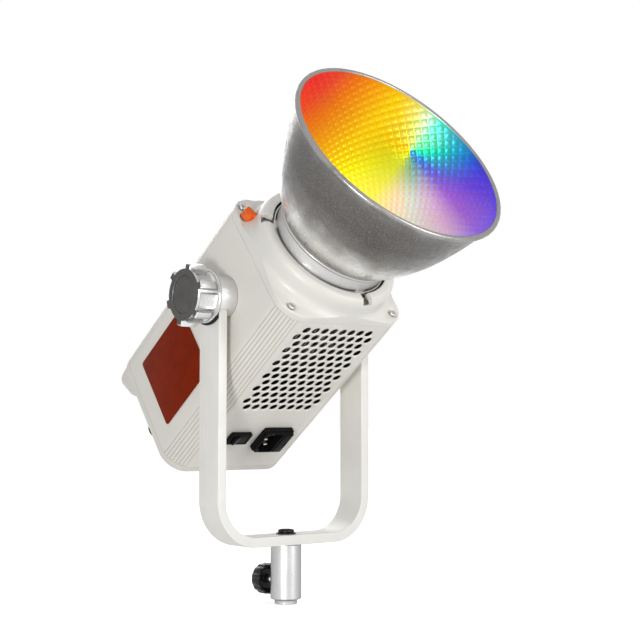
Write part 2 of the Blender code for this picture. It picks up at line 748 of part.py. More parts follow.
def latch_room():
    """The pocket under the latch's button and the slot for its catch, with room for its travel."""
    start = RING_RADIUS + FIT
    pocket_length = LATCH_REACH + 2 * FIT
    pocket_depth = LATCH_TRAVEL + 2 * FIT
    x, y = polar(LATCH_ANGLE, start - FIT + pocket_length / 2)
    pocket_size = (pocket_length, LATCH_WIDTH + 2 * FIT, pocket_depth + OVERRUN)
    pocket_level = LAND - pocket_depth + pocket_size[2] / 2
    pocket = box("latch_pocket", pocket_size, (x, y, pocket_level), DARK_GREY, head, (0, 0, LATCH_ANGLE))
    slot_length = start - MOUTH_RADIUS + OVERRUN
    x, y = polar(LATCH_ANGLE, start - slot_length / 2)
    slot_size = (slot_length, CATCH_WIDTH + 2 * FIT, GALLERY_FLOOR - LAND + OVERRUN)
    slot_level = LAND + slot_size[2] / 2
    slot = box("catch_slot", slot_size, (x, y, slot_level), DARK_GREY, head, (0, 0, LATCH_ANGLE))
    return pocket, slot


def release_latch():
    """The button beside the ring, tapered outwards, with the catch that stands under a lug."""
    base = LATCH_WIDTH / 2
    tip = base * LATCH_TAPER_SHARE
    outline = [
        (0, -base),
        (LATCH_REACH * LATCH_TAPER_SHARE, -(base + tip) / 2),
        (LATCH_REACH, -tip * LATCH_TAPER_SHARE),
        (LATCH_REACH, tip * LATCH_TAPER_SHARE),
        (LATCH_REACH * LATCH_TAPER_SHARE, (base + tip) / 2),
        (0, base),
    ]
    start = RING_RADIUS + FIT
    x, y = polar(LATCH_ANGLE, start)
    level = LAND + FIT + LATCH_HEIGHT / 2
    button = slab("release_latch", [outline], LATCH_HEIGHT, (x, y, level), ORANGE, head, (0, 0, LATCH_ANGLE))
    round_edges(button, LATCH_ROUND, lambda point: point.z > 0)
    length = CATCH_REACH + 2 * OVERRUN
    x, y = polar(LATCH_ANGLE, start + OVERRUN - length / 2)
    catch_level = GALLERY_FLOOR - FIT - CATCH_HEIGHT / 2
    size = (length, CATCH_WIDTH, CATCH_HEIGHT)
    catch = box("latch_catch", size, (x, y, catch_level), ORANGE, head, (0, 0, LATCH_ANGLE))
    return join(button, catch)


def bezel_screws():
    for index, (x, y) in enumerate(screw_places()):
        profile = [
            (0, SCREW_HEAD_HEIGHT),
            (SCREW_HEAD_RADIUS * SCREW_DOME_SHARE, SCREW_HEAD_HEIGHT),
            (SCREW_HEAD_RADIUS, SCREW_HEAD_HEIGHT / 2),
            (SCREW_HEAD_RADIUS, 0),
            (SCREW_RADIUS, 0),
            (SCREW_RADIUS, -SCREW_LENGTH),
            (0, -SCREW_LENGTH),
        ]
        seat = (x, y, LAND + FIT)
        turned(f"bezel_screw_{index + 1}", profile, seat, BLACK_STEEL, head, steps=HOLE_STEPS)


def light_engine():
    """Heat sink, emitter on its board, holder and the glass behind the mouth."""
    gap = (SINK_SIZE - FIN_THICKNESS) / (FIN_COUNT - 1) - FIN_THICKNESS
    comb = [(SINK_SIZE / 2, 0), (-SINK_SIZE / 2, 0)]
    for index in range(FIN_COUNT):
        left = -SINK_SIZE / 2 + index * (FIN_THICKNESS + gap)
        if index:
            comb.append((left, -SINK_BASE))
        comb.append((left, -SINK_LENGTH))
        comb.append((left + FIN_THICKNESS, -SINK_LENGTH))
        if index < FIN_COUNT - 1:
            comb.append((left + FIN_THICKNESS, -SINK_BASE))
    slab("heat_sink", [comb], SINK_SIZE, (0, 0, SINK_FRONT), ALUMINIUM, head, ALONG_MINUS_Y)
    board_size = (COB_SIZE, COB_SIZE, BOARD_THICKNESS)
    box("cob_board", board_size, (0, 0, SINK_FRONT + FIT + BOARD_THICKNESS / 2), CERAMIC, head)
    board_top = SINK_FRONT + FIT + BOARD_THICKNESS
    level = board_top + FIT + EMITTER_THICKNESS / 2
    middle = (0, 0, level)
    cylinder("cob_emitter", EMITTER_RADIUS, EMITTER_THICKNESS, middle, PHOSPHOR, head, steps=ROUND_STEPS)
    inner = EMITTER_RADIUS + 2 * FIT
    holder = [
        (inner + HOLDER_THICKNESS, HOLDER_THICKNESS),
        (HOLDER_RADIUS, HOLDER_THICKNESS),
        (HOLDER_RADIUS, 0),
        (inner, 0),
        (inner, BOARD_THICKNESS),
    ]
    turned("cob_holder", holder, (0, 0, board_top + FIT), CERAMIC, head)
    level = BEZEL_BACK + FIT + GLASS_THICKNESS / 2
    cylinder("cover_glass", GLASS_RADIUS, GLASS_THICKNESS, (0, 0, level), GLASS, head, steps=FINE_STEPS)


def fan():
    """An axial fan behind the fins: frame with a spider at the back, rotor on the spider's pin."""
    outline = rounded_rectangle(FAN_SIZE, FAN_SIZE, FAN_CORNER, ARC_STEPS // 2)
    middle = FAN_FRONT - FAN_DEPTH / 2
    loops = [outline, circle(FAN_BORE, ROUND_STEPS)]
    frame = slab("fan_frame", loops, FAN_DEPTH, (0, 0, middle), BLACK_PLASTIC, head)
    back = FAN_FRONT - FAN_DEPTH
    hub = cylinder("fan_hub", FAN_HUB, FAN_SPIDER, (0, 0, back + FAN_SPIDER / 2), BLACK_PLASTIC, head)
    pin_length = FAN_DEPTH - FAN_SPIDER
    pin_place = (0, 0, back + pin_length / 2)
    pin = cylinder("fan_pin", FAN_PIN, pin_length, pin_place, BLACK_PLASTIC, head, steps=HOLE_STEPS)
    spokes = []
    for index in range(LUG_COUNT):
        angle = math.pi / 4 + index * math.tau / LUG_COUNT
        x, y = polar(angle, FAN_BORE / 2)
        size = (FAN_BORE + FAN_SPIDER, FAN_SPIDER, FAN_SPIDER * 2 / 3)
        spokes.append(box("fan_spoke", size, (x, y, back + size[2] / 2), BLACK_PLASTIC, head, (0, 0, angle)))
    join(frame, hub, pin, *spokes)
    length = FAN_DEPTH - FAN_SPIDER - 2 * FIT - OVERRUN
    profile = [
        (FAN_PIN + FIT, length),
        (FAN_HUB, length),
        (FAN_HUB, 0),
        (FAN_PIN + FIT, 0),
    ]
    rotor = turned("fan_rotor", profile, (0, 0, back + FAN_SPIDER + FIT), DARK_GREY, head, steps=SMALL_STEPS)
    blades = []
    reach = BLADE_REACH - FAN_HUB + OVERRUN
    for index in range(BLADE_COUNT):
        angle = index * math.tau / BLADE_COUNT
        out = Matrix.Translation((FAN_HUB - OVERRUN + reach / 2, 0, length / 2))
        turn = Matrix.Rotation(angle, 4, "Z") @ out @ Matrix.Rotation(BLADE_ANGLE, 4, "X")
        blade = box("fan_blade", (reach, BLADE_CHORD, BLADE_THICKNESS), (0, 0, 0), DARK_GREY, rotor)
        blade.data.transform(turn)
        blades.append(blade)
    return join(rotor, *blades)


def reflector_ring():
    """The reflector's ring: a hub inside the mouth, three lugs in the gallery and a thin neck."""
    inner = RING_NECK_RADIUS - RING_NECK_WALL
    hub = MOUTH_RADIUS - RING_HUB_GAP
    bead = RING_LENGTH - 4 * RING_BEAD
    profile = [
        (inner, RING_LENGTH),
        (RING_NECK_RADIUS, RING_LENGTH),
        (RING_NECK_RADIUS, bead + RING_BEAD),
        (RING_NECK_RADIUS + RING_BEAD, bead),
        (RING_NECK_RADIUS, bead - RING_BEAD),
        (RING_NECK_RADIUS, RING_HUB_LENGTH),
        (hub, RING_HUB_LENGTH - RING_BEAD),
        (hub, 0),
        (inner, 0),
    ]
    ring = turned("reflector_ring", profile, (0, 0, RING_BACK), SILVER, head, steps=FINE_STEPS)
    lugs = []
    length = LUG_REACH + OVERRUN
    height = GALLERY_LENGTH - 2 * FIT
    for index in range(LUG_COUNT):
        angle = LATCH_ANGLE + index * math.tau / LUG_COUNT
        x, y = polar(angle, hub - OVERRUN + length / 2)
        size = (length, LUG_WIDTH, height)
        lugs.append(box("ring_lug", size, (x, y, RING_BACK + height / 2), SILVER, head, (0, 0, angle)))
    return join(ring, *lugs)


def bowl_curve():
    """The bowl's outer side as (radius, height, inward normal), from its floor to its rim."""
    start = Vector((REFLECTOR_BASE_RADIUS, 0))
    belly = Vector((REFLECTOR_RADIUS * BELLY_RADIUS_SHARE, REFLECTOR_LENGTH * BELLY_HEIGHT_SHARE))
    end = Vector((REFLECTOR_RADIUS - 2 * RIM_RADIUS, REFLECTOR_LENGTH - 2 * RIM_RADIUS))
    steps = ARC_STEPS + 2
    stations = []
    for step in range(steps + 1):
        t = step / steps
        point = start * (1 - t) ** 2 + belly * (2 * t * (1 - t)) + end * t**2
        slope = (belly - start) * (1 - t) + (end - belly) * t
        inward = Vector((-slope.y, slope.x)).normalized()
        stations.append((point, inward))
    return stations


def reflector():
    """The spun bowl: a rolled rim, a wall of one thickness and a short neck inside the ring."""
    stations = bowl_curve()
    outer = [tuple(point) for point, _ in reversed(stations)]
    inner = [tuple(point + inward * REFLECTOR_WALL) for point, inward in stations]
    centre = (REFLECTOR_RADIUS - RIM_RADIUS, REFLECTOR_LENGTH - RIM_RADIUS)
    rim = arc(centre, RIM_RADIUS, math.radians(150), math.radians(-70), ARC_STEPS - 1)
    neck = RING_NECK_RADIUS - RING_NECK_WALL - FIT
    throat = neck - REFLECTOR_WALL
    profile = [
        *rim,
        *outer,
        (neck, 0),
        (neck, -REFLECTOR_NECK_LENGTH),
        (throat, -REFLECTOR_NECK_LENGTH),
        (throat, REFLECTOR_WALL),
        *inner,
    ]
    turned("reflector", profile, (0, 0, REFLECTOR_FLOOR), SPUN, head, steps=FINE_STEPS)


def power_electronics():
    """The supply board in the extrusion's rails, with its transformer and capacitor."""
    width = 2 * (WALL_INSIDE - FIT)
    start = -BODY_BACK + POWER_BOARD_SETBACK
    middle = start + POWER_BOARD_LENGTH / 2
    size = (width, BOARD_THICKNESS, POWER_BOARD_LENGTH)
    box("power_board", size, (0, RAIL_LEVEL, middle), BOARD_GREEN, head)
    top = RAIL_LEVEL + BOARD_THICKNESS / 2 + FIT
    across, along = TRANSFORMER_PLACE
    place_at = (across, top + TRANSFORMER_SIZE[1] / 2, start + along)
    box("power_transformer", TRANSFORMER_SIZE, place_at, COPPER, head)
    across, along = CAPACITOR_PLACE
    place_at = (across, top + CAPACITOR_LENGTH / 2, start + along)
    cylinder("power_capacitor", CAPACITOR_RADIUS, CAPACITOR_LENGTH, place_at, DARK_GREY, head, ALONG_Y)


def console_outline():
    """The console's side, as (up, back) from its foot on the cover's back face."""
    return [(up * CONSOLE_HEIGHT, back * CONSOLE_DEPTH) for up, back in CONSOLE_SHARES]


def inset(points, distance):
    """Moves each side of a convex clockwise outline inwards by the same distance."""
    moved = []
    for before, here, after in zip([points[-1], *points[:-1]], points, [*points[1:], points[0]]):
        first = (Vector(here) - Vector(before)).normalized()
        second = (Vector(after) - Vector(here)).normalized()
        normals = [Vector((side.y, -side.x)) for side in (first, second)]
        half = (normals[0] + normals[1]).normalized()
        moved.append(tuple(Vector(here) + half * (distance / half.dot(normals[0]))))
    return moved


def console_slab(name, outline, width):
    """An outline of (up, back) drawn across the head, seated on the cover's back face."""
    loop = [(back, up) for up, back in outline]
    return slab(name, [loop], width, (0, CONSOLE_FOOT, COVER_BACK), CREAM, head, (0, math.pi / 2, 0))


def screen_frame():
    """An empty in the middle of the console's screen face, its Z pointing into the cover."""
    foot, top = (Vector(point) for point in console_outline()[SCREEN_FOOT : SCREEN_FOOT + 2])
    middle = (foot + top) / 2
    slope = math.atan2(foot.y - top.y, top.x - foot.x)
    return empty("screen_frame", (0, CONSOLE_FOOT + middle.x, COVER_BACK - middle.y), (slope, 0, 0), head)


def button_places():
    return [((index - 3 / 2) * BUTTON_SPACING, -CONTROL_LEVEL) for index in range(4)]


def dial_places():
    return [(-DIAL_SPACING / 2, -CONTROL_LEVEL), (DIAL_SPACING / 2, -CONTROL_LEVEL)]


def rear_cover(screen):
    outline = rounded_rectangle(BODY_WIDTH, BODY_HEIGHT, BODY_CORNER)
    middle = (COVER_FRONT + COVER_BACK) / 2
    cover = slab("rear_cover", [outline], COVER_THICKNESS, (0, 0, middle), CREAM, head)
    round_edges(cover, COVER_ROUND, lambda point: point.z < 0)
    foot = -COVER_WALL
    hump_outline = [(0, foot), (0, 0), *console_outline(), (CONSOLE_HEIGHT, 0), (CONSOLE_HEIGHT, foot)]
    hump = console_slab("console_hump", hump_outline, CONSOLE_WIDTH)
    bevel = hump.modifiers.new("round", "BEVEL")
    bevel.width = CONSOLE_ROUND
    bevel.segments = 2
    bevel.limit_method = "ANGLE"
    bevel.angle_limit = math.radians(60)
    bake(hump)
    room_depth = COVER_THICKNESS - COVER_WALL
    room_level = COVER_FRONT - room_depth / 2 + OVERRUN / 2
    room = slab("cover_room", [cavity_outline(False)], room_depth + OVERRUN, (0, 0, room_level), CREAM, head)
    hollow_outline = inset([(0, 0), *console_outline(), (CONSOLE_HEIGHT, 0)], COVER_WALL)
    hollow_outline[0] = (hollow_outline[0][0], foot - OVERRUN)
    hollow_outline[-1] = (hollow_outline[-1][0], foot - OVERRUN)
    hollow = console_slab("console_hollow", hollow_outline, CONSOLE_WIDTH - 2 * CONSOLE_END_WALL)
    join(cover, hump)
    cut(cover, room, hollow)
    window_room = box(
        "window_room",
        (WINDOW_SIZE[0] + 2 * FIT, WINDOW_SIZE[1] + 2 * FIT, 2 * (WINDOW_THICKNESS + FIT)),
        (0, 0, 0),
        CREAM,
        screen,
    )
    aperture = box("aperture", (*APERTURE_SIZE, 4 * COVER_WALL), (0, 0, 0), CREAM, screen)
    depth = COVER_WALL + 2 * OVERRUN
    level = COVER_BACK + COVER_WALL / 2
    tools = [window_room, aperture]
    for x, y in button_places():
        tools.append(cylinder("button_hole", BUTTON_RADIUS + FIT, depth, (x, y, level), CREAM, head))
    for x, y in dial_places():
        tools.append(cylinder("shaft_hole", ENCODER_SHAFT + FIT, depth, (x, y, level), CREAM, head))
    for x, y in screw_places():
        if y < 0:
            length = 2 * COVER_THICKNESS
            tools.append(cylinder("cover_bore", TAP_RADIUS, length, (x, y, middle), CREAM, head, steps=HOLE_STEPS))
    cut(cover, *tools)
    posts = []
    for x in (-1, 1):
        for y in (-1, 1):
            across = x * (CONTROL_BOARD_SIZE[0] / 2 - BOARD_POST_INSET[0])
            up = -CONTROL_LEVEL + y * (CONTROL_BOARD_SIZE[1] / 2 - BOARD_POST_INSET[1])
            length = CONTROL_GAP - FIT + COVER_WALL / 2
            spot = (across, up, CONTROL_BOARD_BACK - FIT - length / 2)
            post = cylinder("board_post", BOARD_POST_RADIUS, length, spot, CREAM, head, steps=HOLE_STEPS)
            posts.append(post)
    return join(cover, *posts)


def display(screen):
    level = WINDOW_THICKNESS / 2
    box("display_window", (*WINDOW_SIZE, WINDOW_THICKNESS), (0, 0, level), SCREEN, screen)
    size = (APERTURE_SIZE[0] + 2 * OVERRUN, APERTURE_SIZE[1] + 2 * OVERRUN, PANEL_THICKNESS)
    box("display_panel", size, (0, 0, COVER_WALL + FIT + PANEL_THICKNESS / 2), DARK_GREY, screen)


def controls():
    """The control board with two encoders, their dials and four buttons."""
    size = (*CONTROL_BOARD_SIZE, BOARD_THICKNESS)
    level = CONTROL_BOARD_BACK + BOARD_THICKNESS / 2
    box("control_board", size, (0, -CONTROL_LEVEL, level), BOARD_GREEN, head)
    for side, (x, y) in zip(("left", "right"), dial_places()):
        body_length = CONTROL_GAP - 2 * FIT
        body_level = CONTROL_BOARD_BACK - FIT - body_length / 2
        encoder_size = (ENCODER_SIZE, ENCODER_SIZE, body_length)
        encoder = box(f"encoder_{side}", encoder_size, (x, y, body_level), DARK_GREY, head)
        shaft_length = COVER_WALL + ENCODER_REACH + FIT + body_length / 2
        shaft_level = COVER_BACK - ENCODER_REACH + shaft_length / 2
        shaft = cylinder("shaft", ENCODER_SHAFT, shaft_length, (x, y, shaft_level), DARK_GREY, head)
        join(encoder, shaft)
        dial(f"control_knob_{side}", (x, y, COVER_BACK - FIT))
    for index, (x, y) in enumerate(button_places()):
        push_button(f"button_{index + 1}", (x, y, COVER_BACK))


def dial(name, location):
    """A ribbed dial over an encoder's shaft, turned about the shaft."""
    outline = []
    for index in range(DIAL_RIBS):
        middle = index * math.tau / DIAL_RIBS
        quarter = math.tau / DIAL_RIBS / 4
        outline += [polar(middle - quarter, DIAL_RADIUS), polar(middle, DIAL_RADIUS)]
        outline += [polar(middle + quarter, DIAL_RADIUS - DIAL_RIB_DEPTH)]
    knob = slab(name, [outline], DIAL_LENGTH, location, BLACK_PLASTIC, head, ALONG_MINUS_Z)
    knob.data.transform(Matrix.Translation((0, 0, DIAL_LENGTH / 2)))
    round_edges(knob, DIAL_ROUND / 2, lambda point: point.z > DIAL_LENGTH / 2, 1)
    bore_length = ENCODER_REACH + OVERRUN
    bore = cylinder("dial_bore", ENCODER_SHAFT + FIT, 2 * bore_length, (0, 0, 0), BLACK_PLASTIC, knob)
    return cut(knob, bore)


def push_button(name, location):
    """A button with a flange behind the cover and a stem that reaches its switch."""
    stem = CONTROL_GAP - 2 * FIT - BUTTON_TRAVEL - BUTTON_FLANGE
    profile = [
        (0, BUTTON_REACH),
        (BUTTON_RADIUS - FIT, BUTTON_REACH),
        (BUTTON_RADIUS, BUTTON_REACH - FIT),
        (BUTTON_RADIUS, -COVER_WALL - FIT),
        (BUTTON_FLANGE_RADIUS, -COVER_WALL - FIT),
        (BUTTON_FLANGE_RADIUS, -COVER_WALL - FIT - BUTTON_FLANGE),
        (BUTTON_RADIUS / 2, -COVER_WALL - FIT - BUTTON_FLANGE),
        (BUTTON_RADIUS / 2, -COVER_WALL - FIT - BUTTON_FLANGE - stem),
        (0, -COVER_WALL - FIT - BUTTON_FLANGE - stem),
    ]
    turned(name, profile, location, DARK_GREY, head, ALONG_MINUS_Z, SMALL_STEPS)


def socket_outline():
    """The inlet's recess: a rectangle with two corners cut off on the earth pin's side."""
    half_width, half_length = SOCKET_SIZE[0] / 2, SOCKET_SIZE[1] / 2
    return [
        (half_width, -half_length),
        (half_width, half_length),
        (-half_width + SOCKET_CHAMFER, half_length),
        (-half_width, half_length - SOCKET_CHAMFER),
        (-half_width, -half_length + SOCKET_CHAMFER),
        (-half_width + SOCKET_CHAMFER, -half_length),
    ]


def inlet(face):
    """The fused inlet. The face frame's Z points out of the lower face, its X across and its Y forward."""
    x, y = INLET_PLACE
    base_size = (*INLET_BASE_SIZE, INLET_BASE_THICKNESS)
    body = box("inlet_body", base_size, (x, y, FIT + INLET_BASE_THICKNESS / 2), BLACK_PLASTIC, face)
    top = FIT + INLET_RISE
    core_length = INLET_RISE + INLET_DEPTH
    middle = (x, y, top - core_length / 2)
    core = box("inlet_core", (*INLET_CORE_SIZE, core_length), middle, BLACK_PLASTIC, face)
    join(body, core)
    socket_x = x - SOCKET_OFFSET
    recess_length = SOCKET_BOTTOM + OVERRUN
    level = top + OVERRUN - recess_length / 2
    middle = (socket_x, y, level)
    recess = slab("inlet_recess", [socket_outline()], recess_length, middle, BLACK_PLASTIC, face)
    drawer_x = x + DRAWER_OFFSET
    room_length = DRAWER_LENGTH + FIT + OVERRUN
    room_size = (DRAWER_SIZE[0] + 2 * FIT, DRAWER_SIZE[1] + 2 * FIT, room_length)
    room = box("drawer_room", room_size, (drawer_x, y, top + OVERRUN - room_length / 2), BLACK_PLASTIC, face)
    cut(body, recess, room)
    pin_level = top - SOCKET_BOTTOM + FIT + BLADE_LENGTH / 2
    pins = {
        "inlet_pin_line": (socket_x + BLADE_OFFSET, y - BLADE_SPREAD),
        "inlet_pin_neutral": (socket_x + BLADE_OFFSET, y + BLADE_SPREAD),
        "inlet_pin_earth": (socket_x - BLADE_OFFSET, y),
    }
    for name, (pin_x, pin_y) in pins.items():
        box(name, (*reversed(BLADE_SIZE), BLADE_LENGTH), (pin_x, pin_y, pin_level), BRASS, face)
    drawer_length = DRAWER_LENGTH + DRAWER_PROUD
    drawer_level = top - DRAWER_LENGTH + drawer_length / 2
    middle = (drawer_x, y, drawer_level)
    drawer = box("fuse_drawer", (*DRAWER_SIZE, drawer_length), middle, BLACK_PLASTIC, face)
    tray = 2 * (FUSE_RADIUS + FIT)
    inner = top - DRAWER_LENGTH + tray / 2 + OVERRUN
    room_size = (DRAWER_SIZE[0], FUSE_LENGTH + 2 * FIT, tray)
    tray_x = drawer_x + DRAWER_SIZE[0] - tray - FIT
    cut(drawer, box("fuse_room", room_size, (tray_x, y, inner), BLACK_PLASTIC, face))
    fuse_x = tray_x - DRAWER_SIZE[0] / 2 + FIT + FUSE_RADIUS
    cylinder("fuse_cartridge", FUSE_RADIUS, FUSE_LENGTH, (fuse_x, y, inner), GLASS, face, ALONG_Y)


def power_switch(face):
    """The rocker in its frame. It turns about the length of the lamp and rests with its left half raised."""
    x, y = SWITCH_PLACE
    size = (*SWITCH_BASE_SIZE, SWITCH_RISE)
    frame = box("rocker_frame", size, (x, y, FIT + SWITCH_RISE / 2), BLACK_PLASTIC, face)
    top = FIT + SWITCH_RISE
    core_length = SWITCH_RISE + SWITCH_DEPTH
    core_size = [side - 2 * SWITCH_CORE_INSET for side in SWITCH_BASE_SIZE]
    core = box("switch_core", (*core_size, core_length), (x, y, top - core_length / 2), BLACK_PLASTIC, face)
    join(frame, core)
    swing_radius = math.hypot(ROCKER_HALF_LENGTH, ROCKER_END)
    well_length = SWITCH_WELL + OVERRUN
    well_size = (2 * (swing_radius + FIT), ROCKER_WIDTH + 2 * FIT, well_length)
    well = box("switch_well", well_size, (x, y, top + OVERRUN - well_length / 2), BLACK_PLASTIC, face)
    cut(frame, well)
    outline = [
        (-ROCKER_HALF_LENGTH, ROCKER_END),
        (-ROCKER_HALF_LENGTH, -ROCKER_SINK),
        (-ROCKER_HALF_LENGTH / 2, -ROCKER_BACK),
        (ROCKER_HALF_LENGTH / 2, -ROCKER_BACK),
        (ROCKER_HALF_LENGTH, -ROCKER_SINK),
        (ROCKER_HALF_LENGTH, ROCKER_END),
        (0, ROCKER_MIDDLE),
    ]
    axis_level = top - ROCKER_MIDDLE
    hinge = empty("rocker_axis", (x, y, axis_level), (math.pi / 2, ROCKER_SWING / 2, 0), face)
    slab("power_rocker", [outline], ROCKER_WIDTH, (0, 0, 0), BLACK_PLASTIC, hinge)


def mirror_band(gap_half, drop, corner, top):
    """Half of a U, from its upper end down the right arm to the middle of the bar."""
    turn = arc((gap_half - corner, -drop + corner), corner, 0, -math.pi / 2, 2 * ARC_STEPS)
    return [(gap_half, top), *turn]


def u_band(inner_half, inner_drop, inner_corner, thickness, top):
    """A U of one thickness, from its inner half width, depth and corner radius."""
    inner = mirror_band(inner_half, inner_drop, inner_corner, top)
    outer = mirror_band(inner_half + thickness, inner_drop + thickness, inner_corner + thickness, top)
    left_inner = [(-x, z) for x, z in reversed(inner)]
    left_outer = [(-x, z) for x, z in reversed(outer)]
    return outer + left_outer + [(x, z) for x, z in reversed(left_inner)] + list(reversed(inner))


def yoke_bracket():
    """One bent flat bar: arms with a rounded tongue each, and two shallow grooves along its outer face."""
    band = u_band(ARM_INSIDE, ARM_DROP, YOKE_CORNER, ARM_THICKNESS, -SHOULDER_DROP)
    bracket = slab("yoke_bracket", [band], ARM_WIDTH, (0, 0, PIVOT_HEIGHT), CREAM, None, ALONG_MINUS_Y)
    tongue = [(-TONGUE_WIDTH / 2, -SHOULDER_DROP - OVERRUN), (TONGUE_WIDTH / 2, -SHOULDER_DROP - OVERRUN)]
    tongue += arc((0, 0), TONGUE_WIDTH / 2, 0, math.pi)
    middle = ARM_INSIDE + ARM_THICKNESS / 2
    upright = (math.pi / 2, 0, math.pi / 2)
    loops = [tongue, circle(PIVOT_BORE, SMALL_STEPS)]
    tongues = [
        slab("arm_tongue", loops, ARM_THICKNESS, (side * middle, 0, PIVOT_HEIGHT), CREAM, None, upright)
        for side in (-1, 1)
    ]
    join(bracket, *tongues)
    groove_band = u_band(
        ARM_OUTSIDE - GROOVE_DEPTH,
        BAR_DROP - GROOVE_DEPTH,
        YOKE_CORNER + ARM_THICKNESS - GROOVE_DEPTH,
        GROOVE_DEPTH + OVERRUN,
        -SHOULDER_DROP + OVERRUN,
    )
    grooves = []
    for y in (-1, 1):
        place_at = (0, y * GROOVE_SPACING / 2, PIVOT_HEIGHT)
        grooves.append(slab("arm_groove", [groove_band], GROOVE_WIDTH, place_at, CREAM, None, ALONG_MINUS_Y))
    screw_hole = cylinder(
        "base_hole",
        BASE_SCREW_RADIUS + FIT,
        ARM_THICKNESS + 2 * OVERRUN,
        (0, 0, (BAR_BOTTOM + BAR_TOP) / 2),
        CREAM,
    )
    return cut(bracket, *grooves, screw_hole)


def pivot_collar(side_name, side):
    """A round collar on the arm's end, with a pocket for the arm open downwards."""
    length = COLLAR_END - COLLAR_START
    middle = side * (COLLAR_START + COLLAR_END) / 2
    name = f"pivot_collar_{side_name}"
    middle_point = (middle, 0, PIVOT_HEIGHT)
    collar = cylinder(name, COLLAR_RADIUS, length, middle_point, SILVER, None, ALONG_X, FINE_STEPS)
    arm_middle = side * (ARM_INSIDE + ARM_THICKNESS / 2)
    slot_width = ARM_THICKNESS + 2 * FIT
    drop = COLLAR_RADIUS + OVERRUN
    half = TONGUE_WIDTH / 2 + FIT
    pocket = [(-half, -drop), (half, -drop), *arc((0, 0), half, 0, math.pi)]
    upright = (math.pi / 2, 0, math.pi / 2)
    arm_point = (arm_middle, 0, PIVOT_HEIGHT)
    tongue_room = slab("tongue_room", [pocket], slot_width, arm_point, SILVER, None, upright)
    height = drop - SHOULDER_DROP + FIT
    arm_size = (slot_width, ARM_WIDTH + 2 * FIT, height)
    arm_room = box("arm_room", arm_size, (arm_middle, 0, PIVOT_HEIGHT - drop + height / 2), SILVER)
    bore = cylinder("collar_bore", PIVOT_BORE, length + 2 * OVERRUN, middle_point, SILVER, None, ALONG_X)
    cut(collar, tongue_room, arm_room, bore)


def friction_pad():
    """The dark crescent between the left arm and the knob's flange, as wide as the arm."""
    inner = COLLAR_RADIUS + FIT
    half = ARM_WIDTH / 2
    reach = math.asin(half / PAD_OUTER_RADIUS)
    inner_reach = math.asin(half / inner)
    down = -math.pi / 2
    outline = arc((0, 0), PAD_OUTER_RADIUS, down - reach, down + reach, 2 * ARC_STEPS)
    outline += arc((0, 0), inner, down + inner_reach, down - inner_reach, 4 * ARC_STEPS)
    middle = -(PAD_START + PAD_THICKNESS / 2)
    upright = (math.pi / 2, 0, math.pi / 2)
    slab("friction_pad", [outline], PAD_THICKNESS, (middle, 0, PIVOT_HEIGHT), RUBBER, None, upright)


def pivots():
    """The plates inside the side walls, the stud under the knob and the bolt on the other side."""
    for name, side in (("left", -1), ("right", 1)):
        middle = side * (PIVOT_PLATE_INSIDE + PIVOT_PLATE_OUTSIDE) / 2
        size = (PIVOT_PLATE_THICKNESS, PIVOT_PLATE_SIZE, PIVOT_PLATE_SIZE)
        plate = box(f"pivot_plate_{name}", size, (middle, 0, 0), STEEL, head)
        depth = 2 * PIVOT_PLATE_THICKNESS
        bore = cylinder("plate_bore", PIVOT_BORE, depth, (middle, 0, 0), STEEL, head, ALONG_X)
        cut(plate, bore)
    stud_end = KNOB_START + KNOB_BORE_DEPTH - FIT
    stud = [
        (0, stud_end),
        (STUD_RADIUS, stud_end),
        (STUD_RADIUS, STUD_START),
        (STUD_HEAD_RADIUS, STUD_START),
        (STUD_HEAD_RADIUS, STUD_START - STUD_HEAD_LENGTH),
        (0, STUD_START - STUD_HEAD_LENGTH),
    ]
    turned("tilt_stud", stud, (0, 0, 0), STEEL, head, ALONG_MINUS_X, SMALL_STEPS)
    head_start = COLLAR_END + FIT
    bolt = [
        (0, head_start + BOLT_HEAD_LENGTH),
        (BOLT_HEAD_RADIUS - BOLT_HEAD_ROUND, head_start + BOLT_HEAD_LENGTH),
        (BOLT_HEAD_RADIUS, head_start + BOLT_HEAD_LENGTH - BOLT_HEAD_ROUND),
        (BOLT_HEAD_RADIUS, head_start),
        (STUD_RADIUS, head_start),
        (STUD_RADIUS, STUD_START),
        (0, STUD_START),
    ]
    turned("pivot_bolt_right", bolt, (0, 0, 0), STEEL, head, ALONG_X, SMALL_STEPS)


